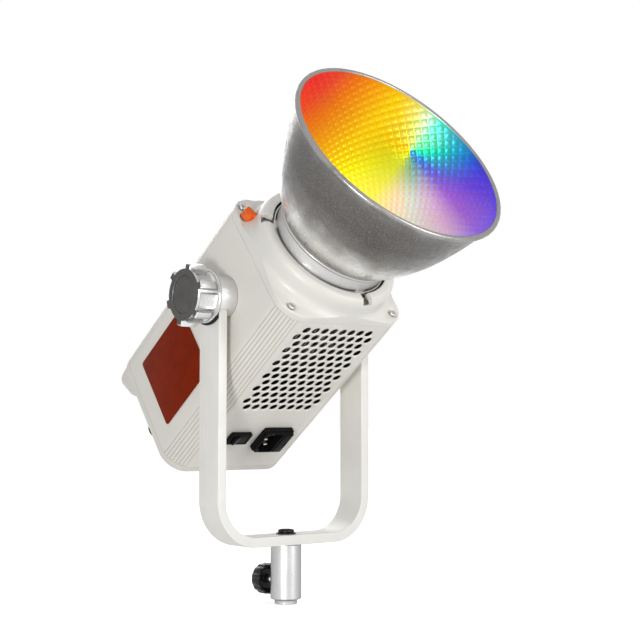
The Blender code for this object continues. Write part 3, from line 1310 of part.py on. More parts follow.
def tilt_knob():
    """The clamping knob: flange, barrel with six ridges, and a cap in a recess of its face."""
    rim_centre = (KNOB_RADIUS - KNOB_ROUND, KNOB_LENGTH - KNOB_ROUND)
    rim = arc(rim_centre, KNOB_ROUND, math.pi / 2, 0, ARC_STEPS // 2)
    floor = KNOB_LENGTH - KNOB_CAP_DEPTH
    profile = [
        (0, floor),
        (KNOB_CAP_RADIUS, floor),
        (KNOB_CAP_RADIUS, KNOB_LENGTH),
        *rim,
        (KNOB_RADIUS, KNOB_FLANGE_LENGTH),
        (KNOB_FLANGE_RADIUS, KNOB_FLANGE_LENGTH),
        (KNOB_FLANGE_RADIUS, 0),
        (PIVOT_BORE, 0),
        (PIVOT_BORE, KNOB_BORE_DEPTH),
        (0, KNOB_BORE_DEPTH),
    ]
    knob = turned("tilt_knob", profile, (-KNOB_START, 0, 0), SILVER, head, ALONG_MINUS_X)
    ridge_length = KNOB_LENGTH - KNOB_FLANGE_LENGTH - 2 * KNOB_RIDGE_SETBACK
    depth = KNOB_RIDGE_RADIUS - KNOB_RADIUS + 2 * KNOB_ROUND
    ridge_outline = rounded_rectangle(depth, KNOB_RIDGE_WIDTH, KNOB_ROUND, 2)
    level = KNOB_FLANGE_LENGTH + KNOB_RIDGE_SETBACK + ridge_length / 2
    ridges = []
    for index in range(KNOB_RIDGE_COUNT):
        angle = KNOB_RIDGE_ANGLE + index * math.tau / KNOB_RIDGE_COUNT
        x, y = polar(angle, KNOB_RIDGE_RADIUS - depth / 2)
        ridge = slab("knob_ridge", [ridge_outline], ridge_length, (x, y, level), SILVER, knob, (0, 0, angle))
        round_edges(ridge, KNOB_RIDGE_SETBACK, lambda point: abs(point.z) > ridge_length / 4, 1)
        ridges.append(ridge)
    join(knob, *ridges)
    cap_place = (-(KNOB_START + floor + FIT + KNOB_CAP_THICKNESS / 2), 0, 0)
    radius = KNOB_CAP_RADIUS - FIT
    cylinder("tilt_knob_cap", radius, KNOB_CAP_THICKNESS, cap_place, DARK_GREY, head, ALONG_MINUS_X, ROUND_STEPS)


def stand_receiver():
    """The socket for a stand's spigot, bored for the base screw above and the clamp screw beside."""
    screw_bore = BASE_SCREW_RADIUS + FIT
    shoulder = RECEIVER_RIM_LENGTH
    profile = [
        (screw_bore, RECEIVER_LENGTH),
        (RECEIVER_RADIUS, RECEIVER_LENGTH),
        (RECEIVER_RADIUS, shoulder + RECEIVER_CHAMFER),
        (RECEIVER_RIM_RADIUS, shoulder),
        (RECEIVER_RIM_RADIUS, 0),
        (SOCKET_RADIUS, 0),
        (SOCKET_RADIUS, SOCKET_DEPTH),
        (screw_bore, SOCKET_DEPTH),
    ]
    receiver = turned("stand_receiver", profile, (0, 0, 0), SILVER, None, steps=FINE_STEPS)
    length = RECEIVER_RADIUS - SOCKET_RADIUS + 4 * OVERRUN
    middle = (RECEIVER_RADIUS + SOCKET_RADIUS) / 2
    place_at = (0, middle, CLAMP_HEIGHT)
    return cut(receiver, cylinder("clamp_bore", CLAMP_SHANK_RADIUS + FIT, length, place_at, SILVER, None, ALONG_Y))


def base_fastener():
    washer = [
        (BASE_SCREW_RADIUS + FIT, WASHER_THICKNESS),
        (WASHER_RADIUS, WASHER_THICKNESS),
        (WASHER_RADIUS, 0),
        (BASE_SCREW_RADIUS + FIT, 0),
    ]
    seat = BAR_TOP + FIT
    turned("base_washer", washer, (0, 0, seat), BLACK_STEEL)
    seat += WASHER_THICKNESS + FIT
    reach = seat - (RECEIVER_LENGTH - BASE_SCREW_REACH)
    screw = [
        (0, BASE_HEAD_HEIGHT),
        (BASE_HEAD_RADIUS * SCREW_DOME_SHARE, BASE_HEAD_HEIGHT),
        (BASE_HEAD_RADIUS, BASE_HEAD_HEIGHT / 2),
        (BASE_HEAD_RADIUS, 0),
        (BASE_SCREW_RADIUS, 0),
        (BASE_SCREW_RADIUS, -reach),
        (0, -reach),
    ]
    turned("base_screw", screw, (0, 0, seat), BLACK_STEEL, None, steps=SMALL_STEPS)


def clamp_screw():
    """The thumbscrew at the back of the receiver: a scalloped knob, dished inside, and a steel shank."""
    start = RECEIVER_RADIUS + CLAMP_KNOB_GAP
    outline = []
    for index in range(CLAMP_LOBES):
        middle = index * math.tau / CLAMP_LOBES
        quarter = math.tau / CLAMP_LOBES / 4
        outline += [polar(middle - quarter, CLAMP_KNOB_RADIUS - CLAMP_LOBE_DEPTH / 4)]
        outline += [polar(middle, CLAMP_KNOB_RADIUS)]
        outline += [polar(middle + quarter, CLAMP_KNOB_RADIUS - CLAMP_LOBE_DEPTH / 4)]
        outline += [polar(middle + 2 * quarter, CLAMP_KNOB_RADIUS - CLAMP_LOBE_DEPTH)]
    location = (0, start, CLAMP_HEIGHT)
    knob = slab("clamp_knob", [outline], CLAMP_KNOB_LENGTH, location, BLACK_PLASTIC, None, ALONG_Y)
    knob.data.transform(Matrix.Translation((0, 0, CLAMP_KNOB_LENGTH / 2)))
    round_edges(knob, CLAMP_LOBE_DEPTH, lambda point: point.z > CLAMP_KNOB_LENGTH / 2, 1)
    edge = CLAMP_KNOB_RADIUS - 2 * CLAMP_LOBE_DEPTH
    dish = [(0, CLAMP_DISH), (CLAMP_HUB_RADIUS + CLAMP_DISH, CLAMP_DISH), (edge, -OVERRUN), (0, -OVERRUN)]
    cut(knob, turned("knob_dish", dish, (0, 0, 0), BLACK_PLASTIC, knob, steps=ROUND_STEPS))
    hub_length = CLAMP_HUB_LENGTH + CLAMP_DISH + OVERRUN
    hub_level = -CLAMP_HUB_LENGTH + hub_length / 2
    turn = (0, 0, math.pi / CLAMP_LOBES / 2)
    hub = cylinder("knob_hub", CLAMP_HUB_RADIUS, hub_length, (0, 0, hub_level), BLACK_PLASTIC, knob, turn)
    join(knob, hub)
    bore_end = CLAMP_BORE_DEPTH - CLAMP_HUB_LENGTH
    bore_length = CLAMP_BORE_DEPTH + OVERRUN
    radius = CLAMP_SHANK_RADIUS + FIT
    middle = bore_end - bore_length / 2
    cut(knob, cylinder("knob_bore", radius, bore_length, (0, 0, middle), BLACK_PLASTIC, knob))
    tip = SOCKET_RADIUS + FIT
    shank_length = start + bore_end - FIT - tip
    middle = tip + shank_length / 2
    cylinder("clamp_shank", CLAMP_SHANK_RADIUS, shank_length, (0, middle, CLAMP_HEIGHT), STEEL, None, ALONG_Y)


head = empty("tilt_axis", (0, 0, PIVOT_HEIGHT), (math.pi / 2 - TILT, 0, 0))
lower_face = empty("lower_face", (0, -BODY_HEIGHT / 2, 0), ALONG_MINUS_Y, head)

housing_extrusion()
side_plate()
front_bezel()
release_latch()
bezel_screws()
light_engine()
fan()
reflector_ring()
reflector()
power_electronics()
screen_face = screen_frame()
rear_cover(screen_face)
display(screen_face)
controls()
inlet(lower_face)
power_switch(lower_face)
pivots()
tilt_knob()
yoke_bracket()
pivot_collar("left", -1)
pivot_collar("right", 1)
friction_pad()
stand_receiver()
base_fastener()
clamp_screw()
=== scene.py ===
from math import atan2, cos, hypot, pi, radians, sin, tau

import bpy
from mathutils import Matrix, Vector


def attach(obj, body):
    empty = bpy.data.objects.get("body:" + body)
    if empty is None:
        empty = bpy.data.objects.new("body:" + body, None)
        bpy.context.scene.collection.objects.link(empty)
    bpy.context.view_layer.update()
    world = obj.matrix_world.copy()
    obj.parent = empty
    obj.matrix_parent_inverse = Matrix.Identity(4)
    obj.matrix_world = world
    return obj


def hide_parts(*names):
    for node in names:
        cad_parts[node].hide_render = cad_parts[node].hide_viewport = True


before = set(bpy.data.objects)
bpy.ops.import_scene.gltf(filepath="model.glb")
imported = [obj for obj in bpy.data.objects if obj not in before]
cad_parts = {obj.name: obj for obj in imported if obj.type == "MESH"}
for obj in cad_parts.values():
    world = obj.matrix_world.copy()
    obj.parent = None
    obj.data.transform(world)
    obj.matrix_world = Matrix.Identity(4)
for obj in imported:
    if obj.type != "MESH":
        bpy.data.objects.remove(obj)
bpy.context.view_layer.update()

# Lengths are metres. The head is drawn in its own frame: X across, Y up and Z forward along the optical axis.
MM = 0.001
TILT = radians(37)
PIVOT_HEIGHT = 0.2398
HEAD = Matrix.Translation((0, 0, PIVOT_HEIGHT)) @ Matrix.Rotation(pi / 2 - TILT, 4, "X")
LOWER_FACE = HEAD @ Matrix.Translation((0, -61.5 * MM, 0)) @ Matrix.Rotation(pi / 2, 4, "X")
YOKE = Matrix.Translation((0, 0, PIVOT_HEIGHT))
PLAIN = Matrix.Identity(4)
BODY = (122.4 * MM, 123.0 * MM, 20.6 * MM)


# Working by hand: what is picked, what is edited, where it ends up
def clear():
    if bpy.context.mode != "OBJECT":
        bpy.ops.object.mode_set(mode="OBJECT")
    bpy.ops.object.select_all(action="DESELECT")


def take(piece):
    clear()
    piece.select_set(True)
    bpy.context.view_layer.objects.active = piece


def call_it(name):
    piece = bpy.context.active_object
    piece.name = name
    piece.data.name = name
    return piece


def edit_all(piece, kind="FACE"):
    take(piece)
    bpy.ops.object.mode_set(mode="EDIT")
    bpy.ops.mesh.select_mode(type=kind)
    bpy.ops.mesh.select_all(action="SELECT")


def pick_faces(piece, wanted):
    """Goes into edit mode with the faces picked whose middle and normal pass the test."""
    take(piece)
    bpy.ops.object.mode_set(mode="EDIT")
    bpy.ops.mesh.select_mode(type="FACE")
    bpy.ops.mesh.select_all(action="DESELECT")
    bpy.ops.object.mode_set(mode="OBJECT")
    for face in piece.data.polygons:
        face.select = wanted(face.center, face.normal)
    bpy.ops.object.mode_set(mode="EDIT")


def pick_edges(piece, wanted):
    """Goes into edit mode with the edges picked whose two ends pass the test together."""
    take(piece)
    bpy.ops.object.mode_set(mode="EDIT")
    bpy.ops.mesh.select_mode(type="EDGE")
    bpy.ops.mesh.select_all(action="DESELECT")
    bpy.ops.object.mode_set(mode="OBJECT")
    points = [corner.co for corner in piece.data.vertices]
    for edge in piece.data.edges:
        edge.select = wanted(points[edge.vertices[0]], points[edge.vertices[1]])
    bpy.ops.object.mode_set(mode="EDIT")


def pick_corners(piece, wanted):
    take(piece)
    bpy.ops.object.mode_set(mode="EDIT")
    bpy.ops.mesh.select_mode(type="VERT")
    bpy.ops.mesh.select_all(action="DESELECT")
    bpy.ops.object.mode_set(mode="OBJECT")
    for corner in piece.data.vertices:
        corner.select = wanted(corner.co)
    bpy.ops.object.mode_set(mode="EDIT")


def tidy_shell(piece):
    """Joins what touches and turns every face outwards."""
    edit_all(piece, "VERT")
    bpy.ops.mesh.remove_doubles(threshold=0.00001)
    bpy.ops.mesh.normals_make_consistent(inside=False)
    clear()
    return piece


def ease(piece, width, segments=2, angle=35):
    """Breaks the sharp edges."""
    take(piece)
    round_off = piece.modifiers.new("eased_edges", "BEVEL")
    round_off.width = width
    round_off.segments = segments
    round_off.limit_method = "ANGLE"
    round_off.angle_limit = radians(angle)
    round_off.use_clamp_overlap = True
    bpy.ops.object.modifier_apply(modifier=round_off.name)
    return piece


def carve(piece, tool, operation="DIFFERENCE"):
    """Cuts the tool out of the piece, or joins it on, and throws the tool away."""
    take(piece)
    cutter = piece.modifiers.new("carve", "BOOLEAN")
    cutter.object = tool
    cutter.operation = operation
    cutter.solver = "EXACT"
    bpy.ops.object.modifier_apply(modifier=cutter.name)
    bpy.data.objects.remove(tool)
    return piece


def gather(pieces):
    """Makes one object of several."""
    clear()
    for piece in pieces:
        piece.select_set(True)
    bpy.context.view_layer.objects.active = pieces[0]
    bpy.ops.object.join()
    return bpy.context.active_object


def copy_of(piece, move):
    """A copy with its own mesh, moved by a matrix."""
    twin = piece.copy()
    twin.data = piece.data.copy()
    bpy.context.scene.collection.objects.link(twin)
    twin.data.transform(move)
    return twin


def seat(piece, place, body, nodes, slot, *finishes, smooth=32):
    """Puts a finished piece where it belongs, with its finish, on its body, for the CAD nodes it stands for."""
    take(piece)
    piece.matrix_world = place @ piece.matrix_world
    bpy.ops.object.transform_apply(location=True, rotation=True, scale=True)
    bpy.ops.object.shade_smooth_by_angle(angle=radians(smooth))
    while len(piece.data.materials) < len(finishes):
        piece.data.materials.append(None)
    for index, finish in enumerate(finishes):
        piece.data.materials[index] = finish
    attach(piece, body)
    if nodes:
        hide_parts(*nodes)
    clear()
    return piece


# Blanks that pieces are started from
def block(name, size, middle=(0, 0, 0), corner=0.0, segments=8):
    """A block, its four upright edges rounded if a corner radius is given."""
    clear()
    bpy.ops.mesh.primitive_cube_add(size=1, location=middle, scale=size)
    piece = call_it(name)
    bpy.ops.object.transform_apply(location=True, rotation=False, scale=True)
    if corner:
        pick_edges(piece, lambda a, b: abs(a.z - b.z) > size[2] / 2)
        bpy.ops.mesh.bevel(offset=corner, segments=segments, profile=0.5, affect="EDGES")
        clear()
    return piece


def draw_up(name, profile, steps=96, solid=True):
    """A round piece drawn up the Z axis ring by ring from (radius, height) pairs, with its ends filled if solid."""
    clear()
    radius, height = profile[0]
    fill = "NGON" if solid else "NOTHING"
    bpy.ops.mesh.primitive_circle_add(vertices=steps, radius=radius, fill_type=fill, location=(0, 0, height))
    piece = call_it(name)
    bpy.ops.object.transform_apply(location=True, rotation=False, scale=False)
    edit_all(piece, "FACE" if solid else "EDGE")
    for next_radius, next_height in profile[1:]:
        bpy.ops.mesh.extrude_region_move(TRANSFORM_OT_translate={"value": (0, 0, next_height - height)})
        grow = next_radius / radius
        bpy.ops.transform.resize(value=(grow, grow, 1), center_override=(0, 0, next_height))
        radius, height = next_radius, next_height
    clear()
    return tidy_shell(piece)


def round_the_axis(piece, count, start=0.0):
    """Copies of a piece round the Z axis, the first at the start angle, as one object."""
    take(piece)
    bpy.ops.object.transform_apply(location=True, rotation=True, scale=True)
    ring = [copy_of(piece, Matrix.Rotation(start + index * tau / count, 4, "Z")) for index in range(count)]
    bpy.data.objects.remove(piece)
    return gather(ring)


def from_cad(name, node, width=0.0003, segments=2, angle=35):
    """A copy of a CAD node with its triangles merged back into faces and its edges broken."""
    clear()
    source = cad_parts[node]
    piece = bpy.data.objects.new(name, source.data.copy())
    piece.data.name = name
    bpy.context.scene.collection.objects.link(piece)
    edit_all(piece, "VERT")
    bpy.ops.mesh.remove_doubles(threshold=0.00001)
    bpy.ops.mesh.customdata_custom_splitnormals_clear()
    bpy.ops.mesh.dissolve_limited(angle_limit=radians(1))
    clear()
    if width:
        ease(piece, width, segments, angle)
    return piece


# Finishes
def new_finish(name, colour, roughness, metallic=0.0):
    material = bpy.data.materials.new(name)
    material.use_nodes = True
    shader = material.node_tree.nodes["Principled BSDF"]
    shader.inputs["Base Color"].default_value = (*colour, 1)
    shader.inputs["Roughness"].default_value = roughness
    shader.inputs["Metallic"].default_value = metallic
    material.diffuse_color = (*colour, 1)
    return material


def node(material, kind, **settings):
    made = material.node_tree.nodes.new(kind)
    for key, value in settings.items():
        if key.startswith("in_"):
            made.inputs[key[3:].replace("_", " ")].default_value = value
        else:
            setattr(made, key, value)
    return made


def wire(material, source, target):
    material.node_tree.links.new(source, target)


def object_place(material, stretch=(1, 1, 1), turn=(0, 0, 0), centre=(0, 0, 0)):
    """Object coordinates with the centre moved to zero, then turned, then stretched."""
    where = node(material, "ShaderNodeTexCoord")
    back = node(material, "ShaderNodeMapping")
    back.inputs["Location"].default_value = [-value for value in centre]
    wire(material, where.outputs["Object"], back.inputs["Vector"])
    turned = node(material, "ShaderNodeMapping")
    turned.inputs["Rotation"].default_value = turn
    wire(material, back.outputs["Vector"], turned.inputs["Vector"])
    sized = node(material, "ShaderNodeMapping")
    sized.inputs["Scale"].default_value = stretch
    wire(material, turned.outputs["Vector"], sized.inputs["Vector"])
    return sized.outputs["Vector"]


def speckle(material, place, scale, detail=3.0):
    grain = node(material, "ShaderNodeTexNoise", in_Scale=scale, in_Detail=detail)
    wire(material, place, grain.inputs["Vector"])
    return grain.outputs["Fac"]


def ramp(material, source, *stops):
    """A colour ramp through (place, colour) stops."""
    made = node(material, "ShaderNodeValToRGB")
    row = made.color_ramp.elements
    while len(row) < len(stops):
        row.new(0.5)
    for element, (position, colour) in zip(row, stops):
        element.position = position
        element.color = (*colour, 1) if len(colour) == 3 else colour
    wire(material, source, made.inputs["Fac"])
    return made.outputs["Color"]


def between(material, source, low, high):
    """Spreads a noise from its usual middle range over low to high."""
    made = node(material, "ShaderNodeMapRange")
    made.inputs["From Min"].default_value = 0.3
    made.inputs["From Max"].default_value = 0.7
    made.inputs["To Min"].default_value = low
    made.inputs["To Max"].default_value = high
    wire(material, source, made.inputs["Value"])
    return made.outputs["Result"]


def raise_surface(material, source, depth, after=None):
    """A bump of the given depth in metres, on top of an earlier one."""
    bump = node(material, "ShaderNodeBump", in_Strength=1.0, in_Distance=depth)
    wire(material, source, bump.inputs["Height"])
    if after is not None:
        wire(material, after, bump.inputs["Normal"])
    return bump.outputs["Normal"]


def shader_of(material):
    return material.node_tree.nodes["Principled BSDF"]


def shade(colour, share):
    return tuple(channel * share for channel in colour)


def paler_sharp_edges(material, colour, edge_colour, low=0.52, high=0.62):
    """The colour turning to the edge colour along the sharpest outer edges."""
    form = node(material, "ShaderNodeNewGeometry")
    spread = node(material, "ShaderNodeMapRange")
    spread.inputs["From Min"].default_value = low
    spread.inputs["From Max"].default_value = high
    spread.inputs["To Max"].default_value = 0.55
    wire(material, form.outputs["Pointiness"], spread.inputs["Value"])
    blend = node(material, "ShaderNodeMix", data_type="RGBA")
    wire(material, spread.outputs["Result"], blend.inputs["Factor"])
    wire(material, colour, blend.inputs["A"])
    blend.inputs["B"].default_value = (*edge_colour, 1)
    return blend.outputs["Result"]


def turned_away(material, colour, far_colour):
    """The colour darkening where bright metal turns away from the eye and mirrors the darker surroundings."""
    angle = node(material, "ShaderNodeLayerWeight", in_Blend=0.35)
    blend = node(material, "ShaderNodeMix", data_type="RGBA")
    wire(material, angle.outputs["Facing"], blend.inputs["Factor"])
    wire(material, colour, blend.inputs["A"])
    blend.inputs["B"].default_value = (*far_colour, 1)
    return blend.outputs["Result"]


def powder_coat(name, colour, roughness=0.42):
    """Baked cream paint: faint mottling, a fine orange peel and slightly paler edges."""
    material = new_finish(name, colour, roughness)
    shader = shader_of(material)
    place = object_place(material)
    tone = ramp(material, speckle(material, place, 28, 4), (0.3, shade(colour, 0.955)), (0.7, shade(colour, 1.02)))
    wire(material, paler_sharp_edges(material, tone, shade(colour, 1.08)), shader.inputs["Base Color"])
    gloss = between(material, speckle(material, place, 160), roughness - 0.05, roughness + 0.07)
    wire(material, gloss, shader.inputs["Roughness"])
    peel = raise_surface(material, speckle(material, place, 900, 2), 0.00003)
    wire(material, raise_surface(material, speckle(material, place, 3200, 1), 0.00001, peel), shader.inputs["Normal"])
    shader.inputs["Coat Weight"].default_value = 0.12
    shader.inputs["Coat Roughness"].default_value = 0.25
    return material


def moulded(name, colour, roughness=0.5, grain=0.00004, pale=1.9):
    """Moulded plastic with a spark-eroded grain and paler sharp edges."""
    material = new_finish(name, colour, roughness)
    shader = shader_of(material)
    shader.inputs["Specular IOR Level"].default_value = 0.2
    place = object_place(material)
    tone = ramp(material, speckle(material, place, 90), (0.3, shade(colour, 0.85)), (0.7, shade(colour, 1.15)))
    wire(material, paler_sharp_edges(material, tone, shade(colour, pale)), shader.inputs["Base Color"])
    gloss = between(material, speckle(material, place, 400), roughness - 0.08, roughness + 0.08)
    wire(material, gloss, shader.inputs["Roughness"])
    wire(material, raise_surface(material, speckle(material, place, 2600, 2), grain), shader.inputs["Normal"])
    return material


def machined(name, colour, roughness, stretch, depth=0.00002, tone_spread=0.12, far=0.3):
    """Metal with tool or brush lines; the stretch is large across the lines and small along them."""
    material = new_finish(name, colour, roughness, 1.0)
    shader = shader_of(material)
    lines = speckle(material, object_place(material, stretch), 1.0, 4)
    cloud = speckle(material, object_place(material), 60, 3)
    tone = ramp(material, lines, (0.3, shade(colour, 1 - tone_spread)), (0.7, shade(colour, 1 + tone_spread / 2)))
    # Painted reflection: the colour darkens towards the far colour where the metal turns away from the eye.
    wire(material, turned_away(material, tone, shade(colour, far)), shader.inputs["Base Color"])
    wire(material, between(material, cloud, roughness - 0.06, roughness + 0.08), shader.inputs["Roughness"])
    wire(material, raise_surface(material, lines, depth), shader.inputs["Normal"])
    return material


def turned_metal(name, colour, roughness, centre, turn, ring_scale, depth=0.00001):
    """Metal faced on a lathe: fine rings round an axis that the turn lays along Z."""
    material = new_finish(name, colour, roughness, 1.0)
    shader = shader_of(material)
    place = object_place(material, (1, 1, 1), turn, centre)
    rings = node(material, "ShaderNodeTexWave", wave_type="RINGS", rings_direction="Z", wave_profile="SAW")
    rings.inputs["Scale"].default_value = ring_scale
    rings.inputs["Distortion"].default_value = 0.6
    rings.inputs["Detail Scale"].default_value = 400
    wire(material, place, rings.inputs["Vector"])
    fine = speckle(material, place, 2200, 2)
    tone = ramp(material, rings.outputs["Fac"], (0.0, shade(colour, 0.93)), (1.0, shade(colour, 1.04)))
    # Painted reflection: the colour darkens where the turned metal turns away from the eye.
    wire(material, turned_away(material, tone, shade(colour, 0.35)), shader.inputs["Base Color"])
    wire(material, between(material, fine, roughness - 0.05, roughness + 0.08), shader.inputs["Roughness"])
    grooves = raise_surface(material, rings.outputs["Fac"], depth)
    wire(material, raise_surface(material, fine, depth, grooves), shader.inputs["Normal"])
    return material


CREAM = (0.79, 0.765, 0.71)
cream_paint = powder_coat("cream_powder_coat", CREAM)
# Painted shade: a darker copy of the cream paint for the faces down in the flutes.
cream_groove_painted_shade = powder_coat("cream_groove_painted_shade_coat", shade(CREAM, 0.74))
cream_bezel = powder_coat("cream_bezel_coat", (0.81, 0.79, 0.74), 0.34)
cream_yoke = powder_coat("cream_yoke_coat", (0.86, 0.845, 0.80), 0.4)
cream_cover = powder_coat("cream_cover_coat", (0.78, 0.755, 0.70), 0.44)
# Painted shade: black for the inner walls, the vent walls and the bezel's gallery, where shade falls.
painted_shade_black = moulded("painted_shade_black_inside", (0.012, 0.012, 0.013), 0.8)
orange_plastic = moulded("orange_latch_plastic", (0.88, 0.145, 0.022), 0.38, 0.00003, 1.2)
plate_coat = moulded("red_brown_plate_coat", (0.205, 0.015, 0.0005), 0.46, 0.000015, 1.4)
black_plastic = moulded("black_inlet_plastic", (0.007, 0.0065, 0.0065), 0.42)
black_knob_plastic = moulded("black_thumbscrew_plastic", (0.008, 0.008, 0.009), 0.32)
black_dial_plastic = moulded("black_dial_plastic", (0.010, 0.010, 0.011), 0.42)
grey_button_plastic = moulded("grey_button_plastic", (0.06, 0.06, 0.065), 0.5)
for dull in (plate_coat, black_plastic, black_dial_plastic):
    shader_of(dull).inputs["Specular IOR Level"].default_value = 0.05
# Dark grey: the cap disc's own colour, also used as a painted reflection on the knob's metal front faces.
grey_cap_and_face_reflection = moulded("dark_grey_cap_and_painted_face_reflection", (0.085, 0.082, 0.078), 0.45, 0.00005, 1.2)
# Painted shadow: black for the crescent that stands for the knob's shadow on the arm.
rubber = moulded("shadow_crescent_black_finish", (0.02, 0.02, 0.02), 0.8)
black_steel = machined("blackened_steel", (0.035, 0.034, 0.034), 0.32, (900, 900, 900), depth=0.00001)
screw_steel = machined("bright_screw_steel", (0.74, 0.72, 0.69), 0.3, (500, 500, 500), depth=0.00001)
shank_steel = machined("thumbscrew_shank_steel", (0.6, 0.6, 0.6), 0.3, (300, 2500, 300))
stud_steel = machined("pivot_steel", (0.55, 0.55, 0.55), 0.35, (2500, 300, 300))
# Painted reflection: a far share of 0.05 paints the receiver's sides nearly black.
receiver_silver = machined("brushed_receiver_silver", (0.60, 0.60, 0.60), 0.36, (900, 900, 1800), depth=0.00002, tone_spread=0.16, far=0.05)
knob_silver = machined("polished_knob_silver", (0.76, 0.76, 0.76), 0.22, (2600, 240, 240), depth=0.000006)
collar_silver = turned_metal("collar_silver", (0.86, 0.86, 0.85), 0.36, (0, 0, PIVOT_HEIGHT), (0, pi / 2, 0), 900)
ring_silver = turned_metal("mounting_ring_silver", (0.66, 0.655, 0.645), 0.3, (0, 0, PIVOT_HEIGHT), (TILT - pi / 2, 0, 0), 600)


def spun_outside():
    """The bowl's spun outside: a painted reflection, bright at the base and the rim and dark between, with a wavy edge,
    a fine sparkle of painted glints and painted darkening where the metal turns away from the eye.
    """
    material = new_finish("spun_bowl_outside", (0.30, 0.29, 0.28), 0.3, 1.0)
    shader = shader_of(material)
    place = object_place(material, (1, 1, 1), (TILT - pi / 2, 0, 0), (0, 0, PIVOT_HEIGHT))
    level = node(material, "ShaderNodeSeparateXYZ")
    wire(material, place, level.inputs["Vector"])
    waves = node(material, "ShaderNodeMath", operation="MULTIPLY_ADD")
    wire(material, speckle(material, place, 55, 3), waves.inputs[0])
    waves.inputs[1].default_value = 16 * MM
    wire(material, level.outputs["Z"], waves.inputs[2])
    height = node(material, "ShaderNodeMapRange")
    height.inputs["From Min"].default_value = 80 * MM
    height.inputs["From Max"].default_value = 180 * MM
    wire(material, waves.outputs["Value"], height.inputs["Value"])
    # Painted reflection: bright and dark bands up the bowl stand for the surroundings that the spun metal mirrors.
    painted_reflection_bands = ramp(
        material,
        height.outputs["Result"],
        (0.00, (1.0, 0.99, 0.97)),
        (0.08, (1.0, 0.99, 0.97)),
        (0.29, (0.97, 0.96, 0.94)),
        (0.40, (0.46, 0.445, 0.43)),
        (0.50, (0.21, 0.20, 0.19)),
        (0.66, (0.125, 0.118, 0.112)),
        (0.86, (0.145, 0.137, 0.13)),
        (0.93, (0.20, 0.192, 0.185)),
        (0.975, (0.34, 0.33, 0.32)),
    )
    sparkle = node(material, "ShaderNodeTexVoronoi", feature="F1", in_Scale=1200)
    wire(material, place, sparkle.inputs["Vector"])
    # Painted glints: lighter flakes laid over the bands.
    painted_glint_flakes = ramp(material, sparkle.outputs["Distance"], (0.10, (0.6, 0.6, 0.6)), (0.30, (0, 0, 0)))
    blend = node(material, "ShaderNodeMix", data_type="RGBA")
    wire(material, painted_glint_flakes, blend.inputs["Factor"])
    wire(material, painted_reflection_bands, blend.inputs["A"])
    blend.inputs["B"].default_value = (0.6, 0.6, 0.6, 1)
    # Painted reflection: the colour darkens where the metal turns away from the eye.
    turned = node(material, "ShaderNodeLayerWeight", in_Blend=0.35)
    painted_reflection_dimmed = node(material, "ShaderNodeMix", data_type="RGBA", blend_type="MULTIPLY")
    wire(material, turned.outputs["Facing"], painted_reflection_dimmed.inputs["Factor"])
    wire(material, blend.outputs["Result"], painted_reflection_dimmed.inputs["A"])
    painted_reflection_dimmed.inputs["B"].default_value = (0.6, 0.6, 0.6, 1)
    wire(material, painted_reflection_dimmed.outputs["Result"], shader.inputs["Base Color"])
    wire(material, between(material, speckle(material, place, 220), 0.24, 0.40), shader.inputs["Roughness"])
    rings = speckle(material, object_place(material, (60, 60, 900), (TILT - pi / 2, 0, 0), (0, 0, PIVOT_HEIGHT)), 1, 2)
    spun = raise_surface(material, rings, 0.00004)
    wire(material, raise_surface(material, sparkle.outputs["Distance"], 0.00003, spun), shader.inputs["Normal"])
    return material


def seen(red, green, blue):
    """A colour as it looks on a screen, turned into the linear values that a shader takes."""
    return (red**2.2, green**2.2, blue**2.2)


